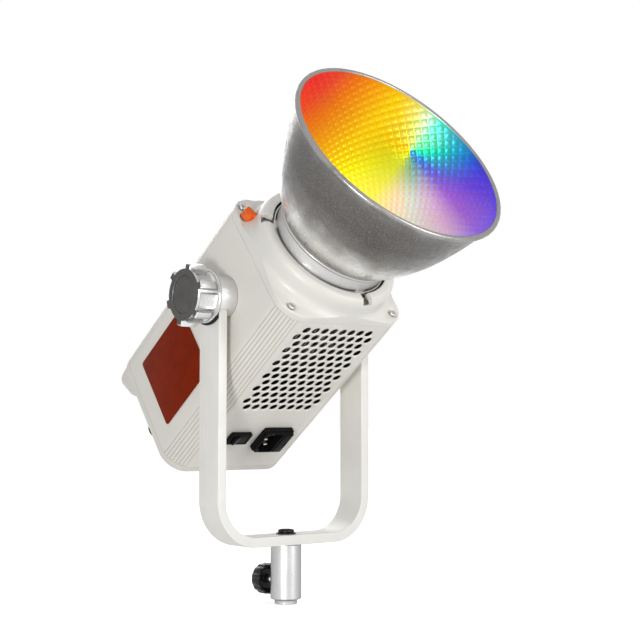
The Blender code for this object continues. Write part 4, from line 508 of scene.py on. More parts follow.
def painted_rainbow_inside():
    """The inside of the bowl: a painted reflection of coloured light that also glows though it is no lamp, a fan of
    colours round a line that leans from the optical axis.
    """
    material = new_finish("painted_glowing_rainbow_inside", (0.9, 0.7, 0.2), 0.30, 0.8)
    shader = shader_of(material)
    fan_right, fan_up = Vector((0.728, -0.686, 0)), Vector((-0.139, -0.148, 0.979))
    lean = Matrix((fan_right, fan_up, fan_right.cross(fan_up))).to_euler()
    middle = Vector((0, 0, PIVOT_HEIGHT)) + 170 * MM * Vector((0, -cos(TILT), sin(TILT))) + 6 * MM * fan_right - MM * fan_up
    where = node(material, "ShaderNodeTexCoord")
    tilted = node(material, "ShaderNodeVectorMath", operation="MULTIPLY_ADD")
    tilted.inputs[1].default_value = (7 * MM, 7 * MM, 7 * MM)
    wire(material, where.outputs["Normal"], tilted.inputs[0])
    wire(material, where.outputs["Object"], tilted.inputs[2])
    centred = node(material, "ShaderNodeMapping")
    centred.inputs["Location"].default_value = -middle
    wire(material, tilted.outputs["Vector"], centred.inputs["Vector"])
    spin = node(material, "ShaderNodeMapping")
    spin.inputs["Rotation"].default_value = lean
    wire(material, centred.outputs["Vector"], spin.inputs["Vector"])
    wheel = node(material, "ShaderNodeTexGradient", gradient_type="RADIAL")
    wire(material, spin.outputs["Vector"], wheel.inputs["Vector"])
    rim = ramp(
        material,
        wheel.outputs["Fac"],
        (0.00, seen(1.0, 0.86, 0.0)),
        (0.05, seen(1.0, 0.96, 0.05)),
        (0.14, seen(1.0, 0.98, 0.35)),
        (0.20, seen(1.0, 0.94, 0.78)),
        (0.25, seen(0.85, 0.97, 0.95)),
        (0.31, seen(0.84, 0.78, 1.0)),
        (0.36, seen(0.62, 0.44, 1.0)),
        (0.42, seen(0.38, 0.30, 1.0)),
        (0.48, seen(0.16, 0.26, 1.0)),
        (0.55, seen(0.0, 0.58, 1.0)),
        (0.62, seen(0.10, 0.92, 0.98)),
        (0.67, seen(0.80, 0.97, 0.82)),
        (0.72, seen(0.95, 0.90, 0.45)),
        (0.79, seen(1.0, 0.80, 0.05)),
        (1.00, seen(1.0, 0.86, 0.0)),
    )
    heart = ramp(
        material,
        wheel.outputs["Fac"],
        (0.00, seen(0.86, 0.82, 0.10)),
        (0.14, seen(0.82, 0.88, 0.20)),
        (0.25, seen(0.36, 0.66, 0.50)),
        (0.38, seen(0.22, 0.42, 0.88)),
        (0.50, seen(0.12, 0.88, 0.62)),
        (0.62, seen(0.50, 0.92, 0.60)),
        (0.75, seen(0.84, 0.80, 0.30)),
        (0.90, seen(0.92, 0.74, 0.06)),
        (1.00, seen(0.86, 0.82, 0.10)),
    )
    flat = node(material, "ShaderNodeVectorMath", operation="MULTIPLY")
    flat.inputs[1].default_value = (1, 1.5, 0)
    wire(material, spin.outputs["Vector"], flat.inputs[0])
    away = node(material, "ShaderNodeVectorMath", operation="LENGTH")
    wire(material, flat.outputs["Vector"], away.inputs[0])
    depth = node(material, "ShaderNodeMapRange", interpolation_type="SMOOTHSTEP")
    depth.inputs["From Min"].default_value = 6 * MM
    depth.inputs["From Max"].default_value = 60 * MM
    wire(material, away.outputs["Value"], depth.inputs["Value"])
    blend = node(material, "ShaderNodeMix", data_type="RGBA")
    wire(material, depth.outputs["Result"], blend.inputs["Factor"])
    wire(material, heart, blend.inputs["A"])
    wire(material, rim, blend.inputs["B"])
    across = node(material, "ShaderNodeVectorMath", operation="DOT_PRODUCT")
    across.inputs[1].default_value = (-0.70, 0.71, 0)
    wire(material, spin.outputs["Vector"], across.inputs[0])
    leftward = node(material, "ShaderNodeMapRange")
    leftward.inputs["From Min"].default_value = 10 * MM
    leftward.inputs["From Max"].default_value = 95 * MM
    wire(material, across.outputs["Value"], leftward.inputs["Value"])
    warm = ramp(
        material,
        leftward.outputs["Result"],
        (0.00, seen(0.96, 0.84, 0.04)),
        (0.30, seen(1.0, 0.80, 0.02)),
        (0.45, seen(1.0, 0.67, 0.02)),
        (0.62, seen(1.0, 0.50, 0.06)),
        (0.75, seen(1.0, 0.30, 0.18)),
        (0.85, seen(1.0, 0.14, 0.22)),
        (0.96, seen(1.0, 0.08, 0.12)),
    )
    share = node(material, "ShaderNodeMapRange", interpolation_type="SMOOTHSTEP")
    share.inputs["From Min"].default_value = 0.05
    share.inputs["From Max"].default_value = 0.35
    wire(material, leftward.outputs["Result"], share.inputs["Value"])
    fan = node(material, "ShaderNodeMix", data_type="RGBA")
    wire(material, share.outputs["Result"], fan.inputs["Factor"])
    wire(material, blend.outputs["Result"], fan.inputs["A"])
    wire(material, warm, fan.inputs["B"])
    painted_reflection_dimmed = node(material, "ShaderNodeMix", data_type="RGBA", blend_type="MULTIPLY")
    painted_reflection_dimmed.inputs["Factor"].default_value = 1
    wire(material, fan.outputs["Result"], painted_reflection_dimmed.inputs["A"])
    painted_reflection_dimmed.inputs["B"].default_value = (0.55, 0.55, 0.55, 1)
    wire(material, painted_reflection_dimmed.outputs["Result"], shader.inputs["Base Color"])
    # Painted glow: the painted reflection is also given off as light.
    wire(material, fan.outputs["Result"], shader.inputs["Emission Color"])
    shader.inputs["Emission Strength"].default_value = 0.48
    place = object_place(material)
    wire(material, between(material, speckle(material, place, 150), 0.26, 0.38), shader.inputs["Roughness"])
    return material


bowl_outside = spun_outside()
painted_glow_bowl_inside = painted_rainbow_inside()


# The lamp body
def flute_stations():
    """Which of the corner's narrow faces meet in a groove, counted along the arc."""
    return {43 + side * step for side in (-1, 1) for step in (4, 12, 20, 28)}


def lamp_housing():
    """The extrusion: a square tube with rounded corners, eight V grooves on each, and rows of round vents."""
    width, height, corner = BODY
    front, back = 44.4 * MM, -140.3 * MM
    tube = block("lamp_housing", (width, height, front - back), (0, 0, (front + back) / 2), corner, 86)
    pick_faces(tube, lambda middle, normal: abs(normal.z) > 0.9)
    bpy.ops.mesh.delete(type="ONLY_FACE")
    stations = flute_stations()
    half = Vector((width / 2 - corner, height / 2 - corner))

    def in_groove(a, b):
        if abs(a.z - b.z) < 0.1 * MM:
            return False
        x, y = abs(a.x) - half.x, abs(a.y) - half.y
        if x < 0 or y < 0:
            return False
        return round(atan2(y, x) / (pi / 2) * 86) in stations

    pick_edges(tube, in_groove)
    bpy.ops.transform.shrink_fatten(value=-0.42 * MM)
    clear()
    tidy_shell(tube)
    take(tube)
    wall = tube.modifiers.new("wall", "SOLIDIFY")
    wall.thickness = 2.0 * MM
    wall.offset = -1
    bpy.ops.object.modifier_apply(modifier=wall.name)
    vent = draw_up("vent", [(3.4 * MM, -4 * MM), (3.4 * MM, -1.15 * MM), (4.12 * MM, 0), (4.5 * MM, 0.6 * MM)], 24)
    rows = []
    for row in range(13):
        count = 8 + row % 2
        along = front - 9.7 * MM - row * 7.86 * MM
        for index in range(count):
            across = (index - (count - 1) / 2) * 8.95 * MM
            rows.append((across, -height / 2, along, pi / 2))
            if row < 3:
                rows.append((across, height / 2, along, -pi / 2))
    holes = [copy_of(vent, Matrix.Translation(spot) @ Matrix.Rotation(turn, 4, "X")) for *spot, turn in rows]
    bpy.data.objects.remove(vent)
    carve(tube, gather(holes))
    carve(tube, block("inlet_hole", (29 * MM, 8 * MM, 26.3 * MM), (17.8 * MM, -height / 2, -99.65 * MM)))
    carve(tube, block("switch_hole", (18.7 * MM, 8 * MM, 11.7 * MM), (-17.0 * MM, -height / 2, -98.6 * MM)))
    inner = (width / 2 - 1.9 * MM, height / 2 - 1.9 * MM)
    for _ in range(3):
        tube.data.materials.append(None)
    for face in tube.data.polygons:
        spot, normal = face.center, face.normal
        wall_side = abs(spot.x) < inner[0] and abs(spot.y) < inner[1] and abs(normal.z) < 0.5
        sideways, upward = abs(spot.x) - half.x, abs(spot.y) - half.y
        reach = hypot(max(sideways, 0), max(upward, 0))
        inward = normal.x * spot.x + normal.y * spot.y < 0
        hole_wall = sideways < 0 and 59.3 * MM < abs(spot.y) < 60.1 * MM and abs(normal.y) < 0.4
        # Painted shade: the faces in the flutes get the darker copy of the cream.
        in_flute = min(sideways, upward) > 0 and corner - 1.0 * MM < reach < corner - 0.1 * MM and abs(normal.z) < 0.5
        # Painted shade: the inner walls and the vent walls are painted black.
        if (wall_side or reach < corner - 1.7 * MM) and inward or hole_wall:
            face.material_index = 1
        elif in_flute:
            face.material_index = 2
    return seat(tube, HEAD, "head", ["housing_extrusion"], "cream_paint", cream_paint, painted_shade_black, cream_groove_painted_shade, smooth=24)


def name_plate():
    """The bare coloured plate on the side wall."""
    plate = block("side_name_plate", (64.8 * MM, 72.7 * MM, 0.6 * MM), (0, 0, 0), 2.8 * MM, 10)
    ease(plate, 0.18 * MM, 2, 60)
    lie = HEAD @ Matrix.Translation((-61.8 * MM, 0.7 * MM, -86.35 * MM)) @ Matrix.Rotation(pi / 2, 4, "Y") @ Matrix.Rotation(pi / 2, 4, "Z")
    return seat(plate, lie, "head", ["side_plate"], "red_brown_plate", plate_coat)


def front_bezel_ring():
    """The bezel: rounded lands that flow up into the bayonet ring, notches, screw recesses and the latch's room."""
    width, height, corner = BODY
    lip = [(50.4, 66.6), (50.9, 67.2), (51.2, 69.0), (51.5, 69.6), (52.1, 69.9), (56.0, 69.9)]
    shoulder = [(56.0 + 5.0 * sin(pi / 2 * step / 12), 62.0 + 7.9 * cos(pi / 2 * step / 12)) for step in range(1, 13)]
    foot = [(61.0, 57.5), (61.15, 55.8), (61.6, 54.2), (62.4, 52.9), (63.6, 51.8), (65.2, 50.9), (67.0, 50.35), (69.0, 50.1)]
    inside = [(69.0, 44.7), (43.0, 44.7), (43.0, 47.5), (40.0, 47.5), (40.0, 50.5), (50.4, 50.5), (50.4, 61.0)]
    gallery = [(57.4, 61.0), (57.4, 65.2), (50.4, 65.2), (50.4, 66.6)]
    rings = [(radius * MM, level * MM) for radius, level in lip + shoulder + foot + inside + gallery]
    bezel = draw_up("front_bezel_ring", rings, 120, solid=False)
    carve(bezel, block("bezel_outline", (width, height, 40 * MM), (0, 0, 60 * MM), corner, 24), "INTERSECT")
    lands = block("bezel_lands", (width, height, 5.5 * MM), (0, 0, 47.45 * MM), corner, 24)
    pick_edges(lands, lambda a, b: a.z > 50 * MM and b.z > 50 * MM)
    bpy.ops.mesh.bevel(offset=1.5 * MM, segments=4, profile=0.5, affect="EDGES")
    clear()
    carve(lands, draw_up("glass_room", [(43 * MM, 40 * MM), (43 * MM, 47.5 * MM), (55 * MM, 47.5 * MM), (55 * MM, 60 * MM)], 120))
    carve(bezel, lands, "UNION")
    notch = block("notch", (11.4 * MM, 9.7 * MM, 9.6 * MM), (54.6 * MM, 0, 66.6 * MM), 0.8 * MM, 3)
    carve(bezel, round_the_axis(notch, 3, radians(158)))
    recess = draw_up("recess", [(1.9 * MM, 40 * MM), (1.9 * MM, 48.8 * MM), (3.4 * MM, 48.8 * MM), (3.9 * MM, 49.3 * MM), (6.9 * MM, 51.6 * MM)], 32)
    corners = [copy_of(recess, Matrix.Translation((x * 51.1 * MM, y * 51.1 * MM, 0))) for x in (-1, 1) for y in (-1, 1)]
    bpy.data.objects.remove(recess)
    carve(bezel, gather(corners))
    clear()
    bpy.ops.mesh.primitive_cylinder_add(vertices=40, radius=5.2 * MM, depth=8 * MM, location=(66.2 * MM, 0, 50.3 * MM))
    room = call_it("latch_room")
    bpy.ops.object.transform_apply(location=True, rotation=False, scale=False)
    slot = block("catch_slot", (12 * MM, 5.6 * MM, 12 * MM), (56 * MM, 0, 56 * MM))
    for tool in (room, slot):
        tool.data.transform(Matrix.Rotation(radians(144), 4, "Z"))
        carve(bezel, tool)
    bezel.data.materials.append(None)
    bezel.data.materials.append(None)
    # Painted shade: the inside of the ring's gallery is painted black.
    for face in bezel.data.polygons:
        spot, normal = face.center, face.normal
        inward = normal.x * spot.x + normal.y * spot.y < -0.6 * spot.xy.length
        face.material_index = 1 if inward and spot.xy.length < 57.6 * MM and 60 * MM < spot.z < 69.2 * MM else 0
    return seat(bezel, HEAD, "head", ["front_bezel"], "cream_ring", cream_bezel, painted_shade_black, smooth=38)


def bayonet_latch():
    """The orange button beside the ring: a round plug with a wedge-shaped end, and its catch."""
    plug = [(4.0, 50.5), (4.75, 50.9), (4.95, 51.6), (4.95, 53.2), (4.7, 54.6), (3.95, 58.4), (3.6, 59.4), (3.0, 59.9), (1.6, 60.0)]
    button = draw_up("bayonet_latch", [(radius * MM, level * MM) for radius, level in plug], 48)
    button.data.transform(Matrix.Translation((66.2 * MM, 0, 0)))
    catch = block("latch_catch_piece", (8 * MM, 5 * MM, 6 * MM), (58.6 * MM, 0, 57.0 * MM))
    ease(catch, 0.3 * MM)
    carve(button, catch, "UNION")
    button.data.transform(Matrix.Rotation(radians(144), 4, "Z"))
    for slope in ((0.55, 0.3, 0.78), (-0.35, -0.4, 0.85)):
        edit_all(button)
        bpy.ops.mesh.bisect(plane_co=(-53.2 * MM, 40.0 * MM, 59.7 * MM), plane_no=slope, clear_outer=True, use_fill=True)
        clear()
    tidy_shell(button)
    ease(button, 0.25 * MM, 2, 50)
    return seat(button, HEAD, "latch", ["release_latch"], "orange_plastic", orange_plastic, smooth=40)


def socket_screws():
    """Four dished socket screws in the bezel's corners."""
    head = [(1.5, 36.2), (1.5, 49.2), (3.0, 49.2), (3.0, 50.1), (2.8, 50.6), (2.3, 50.95), (1.75, 51.0)]
    screw = draw_up("bezel_socket_screw", [(radius * MM, level * MM) for radius, level in head], 24)
    clear()
    bpy.ops.mesh.primitive_cylinder_add(vertices=6, radius=1.45 * MM, depth=3 * MM, location=(0, 0, 51.4 * MM))
    carve(screw, call_it("hex_key"))
    ease(screw, 0.12 * MM, 2)
    for index, (x, y) in enumerate(((1, 1), (-1, 1), (-1, -1), (1, -1))):
        turn = Matrix.Translation((x * 51.1 * MM, y * 51.1 * MM, 0)) @ Matrix.Rotation(index * 0.4, 4, "Z")
        twin = copy_of(screw, turn)
        twin.name = f"bezel_socket_screw_{index + 1}"
        seat(twin, HEAD, "head", [f"bezel_screw_{index + 1}"], "black_steel", screw_steel)
    bpy.data.objects.remove(screw)


# The reflector
def bowl_line(steps):
    """The bowl's outer side as (radius, height along the optical axis), floor to rim."""
    start, belly, end = Vector((50.2, 82.3)), Vector((76.2, 111.5)), Vector((87.0, 168.2))
    return [start * (1 - t) ** 2 + belly * (2 * t * (1 - t)) + end * t**2 for t in (step / steps for step in range(steps + 1))]


def reflector_bowl():
    """The spun bowl: a smooth outside, a rolled rim and a wall of staggered dimples inside."""
    around, rows = 62, 13
    outer = [tuple(point) for point in bowl_line(24)[:-1]]
    rim = [(87.55 + 2.2 * cos(radians(a)), 168.7 + 2.2 * sin(radians(a))) for a in range(-110, 151, 20)]
    neck = [(46.0, 72.4), (47.2, 72.4), (47.2, 82.0), (48.6, 82.3)]
    outside = draw_up("reflector_bowl", [(r * MM, z * MM) for r, z in neck + outer + rim], around, solid=False)
    wall = [(point.x - 1.2, point.y + 0.4) for point in bowl_line(rows)]
    inside = [(46.0, 72.4), (46.0, 82.6)] + wall + [rim[-1]]
    dimpled = draw_up("reflector_inside", [(r * MM, z * MM) for r, z in inside], around, solid=False)
    pick_faces(dimpled, lambda middle, normal: 84 * MM < middle.z < 168.4 * MM)
    bpy.ops.mesh.poke()
    bpy.ops.mesh.tris_convert_to_quads(face_threshold=pi, shape_threshold=pi)
    bpy.ops.mesh.inset(thickness=1.0 * MM, depth=0.55 * MM, use_individual=True)
    bpy.ops.mesh.inset(thickness=0.9 * MM, depth=0.25 * MM, use_individual=True)
    clear()
    bowl = gather([outside, dimpled])
    tidy_shell(bowl)
    bowl.data.materials.append(None)
    bowl.data.materials.append(None)
    for face in bowl.data.polygons:
        spot, normal = face.center, face.normal
        inwards = normal.x * spot.x + normal.y * spot.y < 0 and normal.z > -0.8
        face.material_index = 1 if inwards and 82.2 * MM < spot.z < 169.3 * MM else 0
    return seat(bowl, HEAD, "reflector_unit", ["reflector"], "spun_aluminium", bowl_outside, painted_glow_bowl_inside, smooth=70)


def mounting_ring():
    """The turned ring under the bowl: hub, groove, bead and three lugs."""
    profile = [
        (47.5, 61.4), (49.9, 61.4), (49.9, 67.4), (49.5, 67.9), (48.8, 68.1), (48.5, 68.6), (48.5, 78.9), (48.9, 79.3),
        (49.25, 79.9), (49.3, 80.4), (49.1, 80.9), (48.5, 81.3), (48.5, 81.9), (47.5, 81.9), (47.5, 61.4),
    ]
    ring = draw_up("mounting_ring", [(r * MM, z * MM) for r, z in profile], 120, solid=False)
    lug = block("lug", (7.4 * MM, 9.1 * MM, 3.6 * MM), (52.8 * MM, 0, 63.2 * MM))
    ease(lug, 0.4 * MM)
    carve(ring, round_the_axis(lug, 3, radians(144)), "UNION")
    return seat(ring, HEAD, "reflector_unit", ["reflector_ring"], "silver", ring_silver)


# The yoke and its pivots
def yoke():
    """One flat bar swept round a U: an eased section with a wide round on its rear edge and two fine grooves."""
    top, bend = -6.5 * MM, -156.4 * MM
    clear()
    bpy.ops.mesh.primitive_plane_add(size=1, location=(72.4 * MM, 0, top), scale=(1, 1, 1))
    bar = call_it("yoke_bar")
    bar.scale = (7.7 * MM, 27.4 * MM, 1)
    bpy.ops.object.transform_apply(location=True, rotation=False, scale=True)
    pick_corners(bar, lambda point: point.x > 76 * MM and point.y > 0)
    bpy.ops.mesh.bevel(offset=3.0 * MM, segments=8, affect="VERTICES")
    clear()
    pick_corners(bar, lambda point: abs(point.x) < 69 * MM or point.y < 0)
    bpy.ops.mesh.bevel(offset=0.45 * MM, segments=4, affect="VERTICES")
    clear()
    for line in (-4.9, -4.3, 4.3, 4.9):
        edit_all(bar)
        bpy.ops.mesh.bisect(plane_co=(0, line * MM, 0), plane_no=(0, 1, 0))
    edit_all(bar)
    bpy.ops.mesh.extrude_region_move(TRANSFORM_OT_translate={"value": (0, 0, bend - top)})
    bpy.ops.mesh.spin(steps=24, angle=-pi / 2, center=(39.55 * MM, 0, bend), axis=(0, 1, 0))
    bpy.ops.mesh.extrude_region_move(TRANSFORM_OT_translate={"value": (-79.1 * MM, 0, 0)})
    bpy.ops.mesh.spin(steps=24, angle=-pi / 2, center=(-39.55 * MM, 0, bend), axis=(0, 1, 0))
    bpy.ops.mesh.extrude_region_move(TRANSFORM_OT_translate={"value": (0, 0, top - bend)})
    clear()
    tidy_shell(bar)

    def in_groove(middle, normal):
        if not 4.3 * MM < abs(middle.y) < 4.9 * MM:
            return False
        on_arm = middle.z > bend - MM and abs(middle.x) > 76 * MM
        reach = Vector((abs(middle.x) - 39.55 * MM, middle.z - bend))
        on_bend = reach.x > 0 and reach.y < 0 and reach.length > 36 * MM
        return on_arm or on_bend or middle.z < -193 * MM

    pick_faces(bar, in_groove)
    bpy.ops.mesh.extrude_region_shrink_fatten(TRANSFORM_OT_shrink_fatten={"value": -0.22 * MM})
    clear()
    for side in (1, -1):
        pick_faces(bar, lambda middle, normal: normal.z > 0.9 and middle.z > top - 0.1 * MM and middle.x * side > 0)
        width, height = 27.4, 0.0
        for half, level in ((9.0, 0.01), (9.0, 6.5), (8.6, 9.1), (7.4, 11.6), (5.2, 13.8), (2.4, 15.1)):
            bpy.ops.mesh.extrude_region_move(TRANSFORM_OT_translate={"value": (0, 0, (level - height) * MM)})
            bpy.ops.transform.resize(value=(1, 2 * half / width, 1), center_override=(side * 72.4 * MM, 0, 0))
            width, height = 2 * half, level
        clear()
    clear()
    bpy.ops.mesh.primitive_cylinder_add(vertices=32, radius=2.8 * MM, depth=20 * MM, location=(0, 0, -189 * MM))
    carve(bar, call_it("base_hole"))
    clear()
    bpy.ops.mesh.primitive_cylinder_add(vertices=32, radius=4.3 * MM, depth=170 * MM, rotation=(0, pi / 2, 0))
    carve(bar, call_it("stud_hole"))
    return seat(bar, YOKE, "yoke", ["yoke_bracket"], "cream_paint", cream_yoke, smooth=28)


def collars():
    """The turned collars on the arms' ends, each with a pocket that the arm stands in."""
    profile = [(4.3, 61.5), (17.2, 61.5), (17.5, 61.8), (17.5, 77.0), (17.3, 77.35), (16.9, 77.5), (4.3, 77.5), (4.3, 61.5)]
    for side, name in ((1, "right"), (-1, "left")):
        collar = draw_up(f"arm_collar_{name}", [(r * MM, z * MM) for r, z in profile], 96, solid=False)
        lie = Matrix.Rotation(side * pi / 2, 4, "Y")
        collar.data.transform(lie)
        room = block("arm_pocket", (8.3 * MM, 28.0 * MM, 24 * MM), (side * 72.4 * MM, 0, -18.2 * MM))
        tongue = block("tongue_pocket", (8.3 * MM, 18.6 * MM, 19 * MM), (side * 72.4 * MM, 0, -0.3 * MM))
        carve(collar, room)
        carve(collar, tongue)
        seat(collar, YOKE, "yoke", [f"pivot_collar_{name}"], "silver", collar_silver)


def shadow_crescent_pad():
    """A black crescent put where the knob's shadow falls on the left arm's face: a painted shadow, drawn as a thin pad
    between the arm and the knob.
    """
    pad = draw_up("shadow_crescent_pad", [(r * MM, z * MM) for r, z in [(17.8, 76.6), (22.0, 76.6), (22.3, 76.8), (22.3, 77.6), (22.0, 77.75), (17.8, 77.75), (17.8, 76.6)]], 120, solid=False)
    pad.data.transform(Matrix.Rotation(-pi / 2, 4, "Y"))
    keep = block("arm_width", (4 * MM, 27.4 * MM, 40 * MM), (-77 * MM, 0, -21 * MM))
    carve(pad, keep, "INTERSECT")
    return seat(pad, YOKE, "yoke", ["friction_pad"], "rubber", rubber)


def tilt_clamp_knob():
    """The clamping knob: a flange, a barrel with six ridges and a scooped flute between each two."""
    profile = [(20.5, 0), (20.8, 0.3), (20.8, 1.7), (20.5, 2.0), (20.0, 2.1), (20.0, 3.3), (20.0, 20.7), (20.0, 21.85)]
    knob = draw_up("tilt_clamp_knob", [(r * MM, z * MM) for r, z in profile], 72)

    def turn_in_six(spot):
        return (atan2(spot.y, spot.x) / tau * 360 - 2.5 + 30) % 60 - 30

    def side_face(middle, normal):
        return abs(normal.z) < 0.5 and middle.z > 3.3 * MM

    pick_faces(knob, lambda m, n: side_face(m, n) and abs(turn_in_six(m)) > 10 and m.z < 20.5 * MM)
    bpy.ops.mesh.inset(thickness=0.9 * MM)
    bpy.ops.mesh.inset(thickness=1.1 * MM)
    bpy.ops.transform.shrink_fatten(value=-1.5 * MM)
    clear()
    pick_faces(knob, lambda m, n: side_face(m, n) and abs(turn_in_six(m)) < 6 and m.xy.length > 19.9 * MM)
    bpy.ops.mesh.extrude_region_shrink_fatten(TRANSFORM_OT_shrink_fatten={"value": 4.3 * MM})
    clear()
    pick_corners(knob, lambda point: point.xy.length > 22.5 * MM and point.z < 8 * MM)
    bpy.ops.transform.translate(value=(0, 0, 5.2 * MM))
    clear()
    pick_corners(knob, lambda point: point.xy.length > 22.5 * MM and point.z > 21 * MM)
    bpy.ops.transform.resize(value=(0.955, 0.955, 1), center_override=(0, 0, 21.85 * MM))
    clear()
    pick_faces(knob, lambda m, n: n.z > 0.9 and m.z > 21 * MM and m.xy.length < MM)
    bpy.ops.mesh.inset(thickness=5.1 * MM)
    bpy.ops.mesh.extrude_region_move(TRANSFORM_OT_translate={"value": (0, 0, -2.0 * MM)})
    clear()
    ease(knob, 0.8 * MM, 4, 24)
    knob.data.materials.append(None)
    knob.data.materials.append(None)
    # Painted reflection: the knob's upward front faces take the dark grey, where the polished metal mirrors dark
    # surroundings.
    for face in knob.data.polygons:
        face.material_index = 1 if face.normal.z > 0.7 and face.center.z > 19 * MM else 0
    lie = HEAD @ Matrix.Translation((-78.05 * MM, 0, 0)) @ Matrix.Rotation(-pi / 2, 4, "Y") @ Matrix.Rotation(radians(35.5), 4, "Z")
    seat(knob, lie, "tilt_clamp", ["tilt_knob"], "silver", knob_silver, grey_cap_and_face_reflection)
    cap = draw_up("knob_cap_disc", [(r * MM, z * MM) for r, z in [(14.3, 20.15), (14.6, 20.3), (14.6, 21.2), (14.2, 21.5), (6.0, 21.42)]], 72)
    return seat(cap, lie, "tilt_clamp", ["tilt_knob_cap"], "dark_grey", grey_cap_and_face_reflection)


def pivot_bolt():
    """The domed bolt on the right-hand side, with its hexagon socket."""
    profile = [(4.0, 58.0), (4.0, 77.8), (7.6, 77.8), (8.0, 78.1), (8.0, 81.2), (7.5, 82.2), (6.4, 82.75), (5.0, 82.8)]
    bolt = draw_up("pivot_dome_bolt", [(r * MM, z * MM) for r, z in profile], 64)
    clear()
    bpy.ops.mesh.primitive_cylinder_add(vertices=6, radius=3.4 * MM, depth=6 * MM, location=(0, 0, 83 * MM))
    carve(bolt, call_it("hex_key"))
    ease(bolt, 0.2 * MM, 2, 40)
    return seat(bolt, HEAD @ Matrix.Rotation(pi / 2, 4, "Y"), "head", ["pivot_bolt_right"], "steel", stud_steel)


# The stand receiver and its screws
def receiver():
    profile = [
        (8.1, 0.25), (8.3, 0), (8.7, 0), (8.95, 0.25), (8.95, 2.5), (9.1, 2.8), (11.8, 3.8), (12.25, 4.5),
        (12.25, 46.1), (11.95, 46.4), (2.9, 46.4), (2.9, 35.1), (8.1, 35.1), (8.1, 0.25),
    ]
    tube = draw_up("receiver_tube", [(r * MM, z * MM) for r, z in profile], 96, solid=False)
    clear()
    bpy.ops.mesh.primitive_cylinder_add(vertices=32, radius=2.5 * MM, depth=8 * MM, location=(0, 10.3 * MM, 17.3 * MM), rotation=(pi / 2, 0, 0))
    carve(tube, call_it("clamp_bore"))
    return seat(tube, PLAIN, "yoke", ["stand_receiver"], "silver", receiver_silver)


def base_screw():
    """The black socket screw and its washer on the bar."""
    head = [(2.4, 38.6), (2.4, 56.0), (6.3, 56.0), (6.5, 56.2), (6.5, 57.1), (6.2, 57.8), (5.5, 58.3), (4.4, 58.4)]
    screw = draw_up("base_socket_screw", [(r * MM, z * MM) for r, z in head], 48)
    pick_faces(screw, lambda m, n: n.z > 0.9 and m.z > 58.3 * MM)
    bpy.ops.mesh.extrude_region_move(TRANSFORM_OT_translate={"value": (0, 0, -0.7 * MM)})
    bpy.ops.transform.resize(value=(0.82, 0.82, 1), center_override=(0, 0, 0))
    clear()
    bpy.ops.mesh.primitive_cylinder_add(vertices=6, radius=2.3 * MM, depth=3 * MM, location=(0, 0, 57.9 * MM))
    carve(screw, call_it("hex_key"))
    ease(screw, 0.12 * MM)
    seat(screw, PLAIN, "yoke", ["base_screw"], "black_steel", black_steel)
    rings = [(2.8, 54.7), (7.6, 54.7), (7.9, 54.9), (7.9, 55.4), (7.5, 55.7), (2.8, 55.7), (2.8, 54.7)]
    washer = draw_up("base_black_washer", [(r * MM, z * MM) for r, z in rings], 64, solid=False)
    return seat(washer, PLAIN, "yoke", ["base_washer"], "black_steel", black_steel)


def thumbscrew():
    """The scalloped knob, dished towards the receiver, and its threaded shank."""
    profile = [
        (2.6, 1.2), (3.4, 1.6), (3.6, 4.4), (4.4, 4.7), (7.6, 4.4), (9.6, 2.2), (10.6, 0.4), (11.0, 0.0), (11.5, 0.05),
        (12.1, 0.6), (12.3, 1.3), (12.3, 8.6), (12.0, 9.4), (11.2, 10.1), (9.0, 10.8), (6.0, 11.0),
    ]
    knob = draw_up("thumbscrew_knob", [(r * MM, z * MM) for r, z in profile], 104)
    clear()
    bpy.ops.mesh.primitive_cylinder_add(vertices=24, radius=3.0 * MM, depth=20 * MM, location=(14.4 * MM, 0, 5 * MM))
    carve(knob, round_the_axis(call_it("scallop"), 13, radians(14)))
    ease(knob, 0.35 * MM, 3, 40)
    lie = Matrix.Translation((0, 20.05 * MM, 17.3 * MM)) @ Matrix.Rotation(-pi / 2, 4, "X")
    seat(knob, lie, "clamp_screw", ["clamp_knob"], "black_plastic", black_knob_plastic)
    thread = [(1.9, 8.5)]
    for index in range(14):
        thread += [(2.25, 8.9 + index * 0.8), (1.98, 9.3 + index * 0.8)]
    thread += [(2.2, 20.2), (2.2, 23.6)]
    shank = draw_up("thumbscrew_shank", [(r * MM, z * MM) for r, z in thread], 32)
    lie = Matrix.Translation((0, 0, 17.3 * MM)) @ Matrix.Rotation(-pi / 2, 4, "X")
    return seat(shank, lie, "clamp_screw", ["clamp_shank"], "steel", shank_steel, smooth=25)


